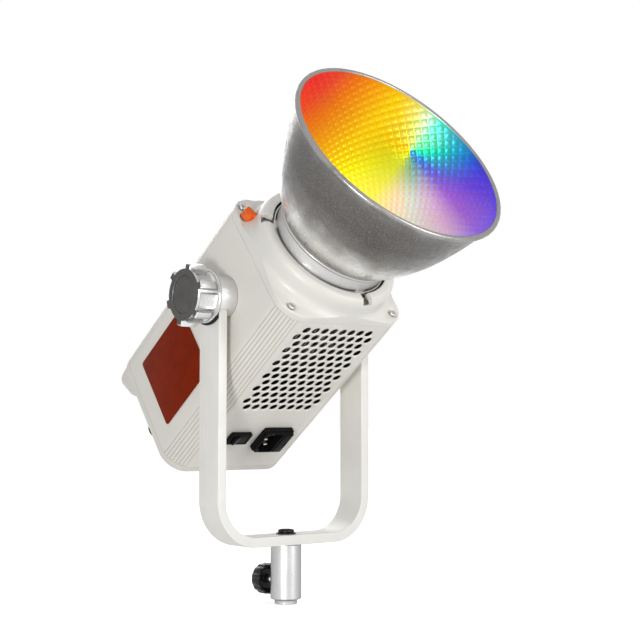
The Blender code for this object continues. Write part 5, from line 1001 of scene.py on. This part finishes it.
# The mains inlet and the rocker, on the lower face
def mains_inlet():
    """The inlet's stepped body with its recess, drawer room and a drawer with a finger lip."""
    x, y = 17.8 * MM, -99.65 * MM
    flange = block("mains_inlet", (30.6 * MM, 27.9 * MM, 3.6 * MM), (x, y, 2.1 * MM), 3.2 * MM, 6)
    pick_edges(flange, lambda a, b: a.z > 3.8 * MM and b.z > 3.8 * MM)
    bpy.ops.mesh.bevel(offset=0.7 * MM, segments=3, affect="EDGES")
    clear()
    core = block("inlet_core", (28.6 * MM, 25.9 * MM, 28 * MM), (x, y, -7.7 * MM), 2.6 * MM, 6)
    pick_edges(core, lambda a, b: a.z > 6 * MM and b.z > 6 * MM)
    bpy.ops.mesh.bevel(offset=0.8 * MM, segments=3, affect="EDGES")
    clear()
    carve(flange, core, "UNION")
    recess = block("inlet_recess", (16.5 * MM, 24.0 * MM, 17 * MM), (x - 5.0 * MM, y, -1.2 * MM))
    pick_edges(recess, lambda a, b: abs(a.z - b.z) > 10 * MM and a.x < x - 6 * MM)
    bpy.ops.mesh.bevel(offset=5.0 * MM, segments=1, affect="EDGES")
    clear()
    pick_edges(recess, lambda a, b: abs(a.z - b.z) > 10 * MM)
    bpy.ops.mesh.bevel(offset=0.9 * MM, segments=3, affect="EDGES")
    clear()
    carve(flange, recess)
    carve(flange, block("drawer_room", (8.2 * MM, 23.0 * MM, 20.5 * MM), (x + 8.9 * MM, y, -2.75 * MM), 0.7 * MM, 3))
    seat(flange, LOWER_FACE, "head", ["inlet_body"], "black_plastic", black_plastic)
    drawer = from_cad("fuse_drawer_tray", "fuse_drawer", 0.0003)
    drawer.data.transform(LOWER_FACE.inverted())
    notch = block("finger_notch", (3.0 * MM, 7.0 * MM, 3 * MM), (x + 12.4 * MM, y, 7.2 * MM), 0.8 * MM, 3)
    carve(drawer, notch)
    drawer.data.transform(LOWER_FACE)
    seat(drawer, PLAIN, "fuse_tray", ["fuse_drawer"], "black_plastic", black_plastic)
    for pole in ("line", "neutral", "earth"):
        seat(from_cad(f"inlet_blade_{pole}", f"inlet_pin_{pole}", 0.0006, 3), PLAIN, "head", [f"inlet_pin_{pole}"], "pin_metal", blade_metal)


def power_rocker():
    """The rocker's frame with a well, and the rocker with its eased edges."""
    x, y = -17.0 * MM, -98.6 * MM
    frame_piece = block("rocker_surround", (20.5 * MM, 13.5 * MM, 3.0 * MM), (x, y, 1.8 * MM), 1.6 * MM, 5)
    pick_edges(frame_piece, lambda a, b: a.z > 3.2 * MM and b.z > 3.2 * MM)
    bpy.ops.mesh.bevel(offset=0.7 * MM, segments=3, affect="EDGES")
    clear()
    core = block("switch_core", (18.3 * MM, 11.3 * MM, 17.0 * MM), (x, y, -6.4 * MM))
    carve(frame_piece, core, "UNION")
    carve(frame_piece, block("switch_well", (16.5 * MM, 9.8 * MM, 10.5 * MM), (x, y, -0.95 * MM), 0.5 * MM, 3))
    seat(frame_piece, LOWER_FACE, "head", ["rocker_frame"], "black_plastic", black_plastic)
    paddle = from_cad("rocker_paddle", "power_rocker", 0.0005, 3, 20)
    seat(paddle, PLAIN, "rocker", ["power_rocker"], "black_plastic", black_plastic, smooth=40)


# The rear cover, its console and the controls
CONSOLE_SHARES = ((0.17, 0.25), (0.29, 0.42), (0.37, 0.58), (0.487, 0.757), (0.82, 0.995), (0.936, 0.98), (0.99, 0.745), (1.0, 0.46))
SCREEN_MIDDLE = Vector((12.0 + 45.6 * (0.487 + 0.82) / 2, -148.3 - 22.7 * (0.757 + 0.995) / 2))
SCREEN_SLOPE = atan2(22.7 * (0.757 - 0.995), 45.6 * (0.82 - 0.487))
SCREEN = HEAD @ Matrix.Translation((0, SCREEN_MIDDLE.x * MM, SCREEN_MIDDLE.y * MM)) @ Matrix.Rotation(SCREEN_SLOPE, 4, "X")


def console_block(name, outline, width):
    """A console-shaped block across the head from its side outline of (up, w)."""
    clear()
    bpy.ops.mesh.primitive_circle_add(vertices=len(outline), radius=1, fill_type="NGON")
    piece = call_it(name)
    for corner, (up, along) in zip(piece.data.vertices, outline):
        corner.co = (-width / 2, up * MM, along * MM)
    edit_all(piece)
    bpy.ops.mesh.extrude_region_move(TRANSFORM_OT_translate={"value": (width, 0, 0)})
    clear()
    return tidy_shell(piece)


def rear_cover_shell():
    width, height, corner = BODY
    cover = block("rear_cover_shell", (width, height, 7.7 * MM), (0, 0, -144.45 * MM), corner, 24)
    pick_edges(cover, lambda a, b: a.z < -148 * MM and b.z < -148 * MM)
    bpy.ops.mesh.bevel(offset=3.0 * MM, segments=6, profile=0.5, affect="EDGES")
    clear()
    outline = [(12.0, -146.0)] + [(12.0 + 45.6 * up, -148.3 - 22.7 * back) for up, back in CONSOLE_SHARES] + [(57.6, -146.0)]
    hump = console_block("console", outline, 104 * MM)
    ease(hump, 2.2 * MM, 5, 12)
    carve(cover, hump, "UNION")
    carve(cover, block("cover_room", (116 * MM, 116 * MM, 6.2 * MM), (0, 0, -142.7 * MM), corner - 3 * MM, 8))
    hollow = [(16.5, -140.0), (16.5, -147.5), (21.5, -152.5), (34.0, -162.4), (49.0, -168.2), (54.6, -166.5), (55.0, -150.0), (55.0, -140.0)]
    carve(cover, console_block("console_hollow", hollow, 90 * MM))
    window = block("window_seat", (66.6 * MM, 14.6 * MM, 2.6 * MM), (0, 0, 0), 1.0 * MM, 4)
    window.data.transform(HEAD.inverted() @ SCREEN)
    carve(cover, window)
    aperture = block("window_aperture", (58 * MM, 10 * MM, 9 * MM))
    aperture.data.transform(HEAD.inverted() @ SCREEN)
    carve(cover, aperture)
    holes = []
    for across, radius in ((-42, 3.3), (42, 3.3), (-22.5, 3.8), (-7.5, 3.8), (7.5, 3.8), (22.5, 3.8)):
        clear()
        spot = (across * MM, -9 * MM, -147.3 * MM)
        bpy.ops.mesh.primitive_cylinder_add(vertices=32, radius=radius * MM, depth=8 * MM, location=spot)
        holes.append(call_it("control_hole"))
        bpy.ops.object.transform_apply(location=True, rotation=False, scale=False)
    carve(cover, gather(holes))
    seat(cover, HEAD, "head", ["rear_cover"], "cream_paint", cream_cover, smooth=30)
    glass = block("screen_window", (66 * MM, 14 * MM, 1.0 * MM), (0, 0, 0.5 * MM), 0.8 * MM, 4)
    ease(glass, 0.2 * MM, 2)
    seat(glass, SCREEN, "head", ["display_window"], "screen", screen_glass)


def buttons_and_dials():
    """Four dished buttons and two ribbed dials with a pointer groove."""
    lie = Matrix.Rotation(pi, 4, "X")
    profile = [(1.8, -4.9), (1.8, -3.8), (4.6, -3.8), (4.6, -2.8), (3.5, -2.8), (3.5, 1.6), (3.2, 1.9), (2.8, 2.0), (1.6, 1.85), (0.4, 1.8)]
    button = draw_up("push_button", [(r * MM, z * MM) for r, z in profile], 40)
    for index in range(4):
        spot = ((index - 1.5) * 15.0 * MM, -9 * MM, -148.3 * MM)
        twin = copy_of(button, Matrix.Translation(spot) @ lie)
        twin.name = f"console_button_{index + 1}"
        seat(twin, HEAD, f"push_{index + 1}", [f"button_{index + 1}"], "dark_grey", grey_button_plastic)
    bpy.data.objects.remove(button)
    profile = [(9.4, 0.3), (9.75, 0.6), (9.75, 1.6), (9.4, 2.0), (9.4, 11.2), (9.0, 12.5), (8.3, 13.2), (7.4, 13.4), (6.8, 13.0), (5.0, 12.9)]
    dial = draw_up("console_dial", [(r * MM, z * MM) for r, z in profile], 96)
    pick_faces(dial, lambda m, n: 2.1 * MM < m.z < 11 * MM and int((atan2(m.y, m.x) % tau) / tau * 96) % 4 < 2)
    bpy.ops.mesh.extrude_region_shrink_fatten(TRANSFORM_OT_shrink_fatten={"value": -0.4 * MM})
    clear()
    carve(dial, block("pointer", (0.9 * MM, 5.0 * MM, 1.2 * MM), (0, 7.6 * MM, 13.3 * MM)))
    ease(dial, 0.1 * MM, 2, 40)
    for across, side in ((-42, "left"), (42, "right")):
        twin = copy_of(dial, Matrix.Translation((across * MM, -9 * MM, -148.6 * MM)) @ lie)
        twin.name = f"console_dial_{side}"
        seat(twin, HEAD, f"dial_{side}", [f"control_knob_{side}"], "black_plastic", black_dial_plastic)
    bpy.data.objects.remove(dial)


# Finishes for what stands inside, and for the parts whose CAD shape is shown
def clear_glass():
    material = new_finish("lamp_cover_glass", (0.93, 0.96, 0.95), 0.06)
    shader = shader_of(material)
    shader.inputs["Transmission Weight"].default_value = 0.9
    shader.inputs["IOR"].default_value = 1.47
    smear = speckle(material, object_place(material), 70)
    wire(material, between(material, smear, 0.03, 0.12), shader.inputs["Roughness"])
    wire(material, raise_surface(material, smear, 0.00001), shader.inputs["Normal"])
    return material


def screen_glass_finish():
    material = new_finish("dark_screen_glass", (0.008, 0.012, 0.016), 0.08)
    shader = shader_of(material)
    place = object_place(material)
    tone = ramp(material, speckle(material, place, 40), (0.3, (0.006, 0.009, 0.012)), (0.7, (0.012, 0.018, 0.024)))
    wire(material, tone, shader.inputs["Base Color"])
    wire(material, between(material, speckle(material, place, 120), 0.05, 0.16), shader.inputs["Roughness"])
    wire(material, raise_surface(material, speckle(material, place, 300), 0.000004), shader.inputs["Normal"])
    shader.inputs["Coat Weight"].default_value = 0.6
    return material


def lit_phosphor():
    material = new_finish("led_phosphor", (0.93, 0.72, 0.16), 0.6)
    shader = shader_of(material)
    place = object_place(material)
    dots = node(material, "ShaderNodeTexVoronoi", in_Scale=900)
    wire(material, place, dots.inputs["Vector"])
    tone = ramp(material, dots.outputs["Distance"], (0.1, (0.98, 0.80, 0.25)), (0.6, (0.80, 0.55, 0.08)))
    wire(material, tone, shader.inputs["Base Color"])
    wire(material, raise_surface(material, dots.outputs["Distance"], 0.0001), shader.inputs["Normal"])
    return material


blade_metal = machined("nickel_blades", (0.66, 0.63, 0.56), 0.3, (400, 2400, 400))
screen_glass = screen_glass_finish()
heat_sink_metal = machined("extruded_heat_sink", (0.62, 0.62, 0.63), 0.45, (2200, 200, 200))
coil_copper = machined("varnished_coil", (0.45, 0.19, 0.08), 0.42, (300, 300, 3000), tone_spread=0.4)
green_board = moulded("green_circuit_board", (0.015, 0.11, 0.045), 0.42, 0.00002, 1.3)
white_ceramic = moulded("white_ceramic", (0.82, 0.82, 0.80), 0.45, 0.00002, 1.05)
grey_plastic = moulded("grey_moulding", (0.055, 0.055, 0.06), 0.5)
fan_plastic = moulded("black_fan_plastic", (0.014, 0.014, 0.015), 0.5)
lens_glass = clear_glass()
phosphor = lit_phosphor()

INNER_FINISHES = {
    "cob_board": white_ceramic,
    "cob_emitter": phosphor,
    "cob_holder": white_ceramic,
    "control_board": green_board,
    "cover_glass": lens_glass,
    "display_panel": grey_plastic,
    "encoder_left": grey_plastic,
    "encoder_right": grey_plastic,
    "fan_frame": fan_plastic,
    "fan_rotor": grey_plastic,
    "fuse_cartridge": lens_glass,
    "heat_sink": heat_sink_metal,
    "pivot_plate_left": stud_steel,
    "pivot_plate_right": stud_steel,
    "power_board": green_board,
    "power_capacitor": grey_plastic,
    "power_transformer": coil_copper,
    "tilt_stud": stud_steel,
}


def finish_inner_nodes():
    for name, finish in INNER_FINISHES.items():
        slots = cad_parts[name].material_slots
        for material_slot in slots:
            material_slot.material = finish


# The studio
def background_rays(tree):
    """One for what the camera sees directly, in metal or through glass; nothing for light that falls on the object."""
    path = tree.nodes.new("ShaderNodeLightPath")
    seen_by = path.outputs["Is Camera Ray"]
    for kind in ("Is Glossy Ray", "Is Transmission Ray"):
        either = tree.nodes.new("ShaderNodeMath")
        either.operation = "MAXIMUM"
        tree.links.new(seen_by, either.inputs[0])
        tree.links.new(path.outputs[kind], either.inputs[1])
        seen_by = either.outputs["Value"]
    return seen_by


def studio():
    """A plain pale floor, white to the camera but still shaded by the object, and an even white world light."""
    clear()
    bpy.ops.mesh.primitive_plane_add(size=60, location=(0, 0, -0.0005))
    floor = call_it("studio_floor")
    pale = new_finish("pale_floor", (0.68, 0.68, 0.68), 0.7)
    shader = shader_of(pale)
    shader.inputs["Emission Color"].default_value = (1, 1, 1, 1)
    glow = node(pale, "ShaderNodeMath", operation="MULTIPLY")
    glow.inputs[1].default_value = 0.7
    wire(pale, background_rays(pale.node_tree), glow.inputs[0])
    wire(pale, glow.outputs["Value"], shader.inputs["Emission Strength"])
    floor.data.materials.append(pale)
    world = bpy.data.worlds.new("white_studio")
    bpy.context.scene.world = world
    world.use_nodes = True
    tree = world.node_tree
    tree.nodes.clear()
    out = tree.nodes.new("ShaderNodeOutputWorld")
    blend = tree.nodes.new("ShaderNodeMixShader")
    ambient, white = tree.nodes.new("ShaderNodeBackground"), tree.nodes.new("ShaderNodeBackground")
    ambient.inputs["Color"].default_value = (1.0, 1.0, 1.0, 1)
    ambient.inputs["Strength"].default_value = 0.42
    white.inputs["Color"].default_value = (1.0, 1.0, 1.0, 1)
    white.inputs["Strength"].default_value = 1.0
    tree.links.new(background_rays(tree), blend.inputs["Fac"])
    tree.links.new(ambient.outputs["Background"], blend.inputs[1])
    tree.links.new(white.outputs["Background"], blend.inputs[2])
    tree.links.new(blend.outputs["Shader"], out.inputs["Surface"])


def soft_lamp(name, place, aim, size, power):
    light = bpy.data.lights.new(name, "AREA")
    light.shape = "DISK"
    light.size = size
    light.energy = power
    lamp = bpy.data.objects.new(name, light)
    bpy.context.scene.collection.objects.link(lamp)
    lamp.location = place
    lamp.rotation_euler = (Vector(aim) - Vector(place)).to_track_quat("-Z", "Y").to_euler()


def camera():
    lens = bpy.data.cameras.new("photo_camera")
    lens.lens = 74.68
    lens.sensor_width = 36
    lens.clip_start = 0.01
    eye = bpy.data.objects.new("photo_camera", lens)
    bpy.context.scene.collection.objects.link(eye)
    eye.location = (-0.6623, -0.8384, PIVOT_HEIGHT - 0.0975)
    eye.rotation_euler = (radians(94.45), 0, radians(-39.76))
    bpy.context.scene.camera = eye
    bpy.context.scene.view_settings.view_transform = "Standard"


camera()
studio()
soft_lamp("left_soft_lamp", (-0.81, -0.58, 0.07), (0, 0, 0.24), 0.16, 3.5)
soft_lamp("front_soft_lamp", (0.45, -1.5, 0.5), (0, 0, 0.22), 0.9, 8.6)
soft_lamp("back_soft_lamp", (0.5, 1.4, 1.1), (0, 0, 0.24), 1.2, 9)
lamp_housing()
name_plate()
front_bezel_ring()
bayonet_latch()
socket_screws()
reflector_bowl()
mounting_ring()
yoke()
collars()
shadow_crescent_pad()
tilt_clamp_knob()
pivot_bolt()
receiver()
base_screw()
thumbscrew()
mains_inlet()
power_rocker()
rear_cover_shell()
buttons_and_dials()
finish_inner_nodes()
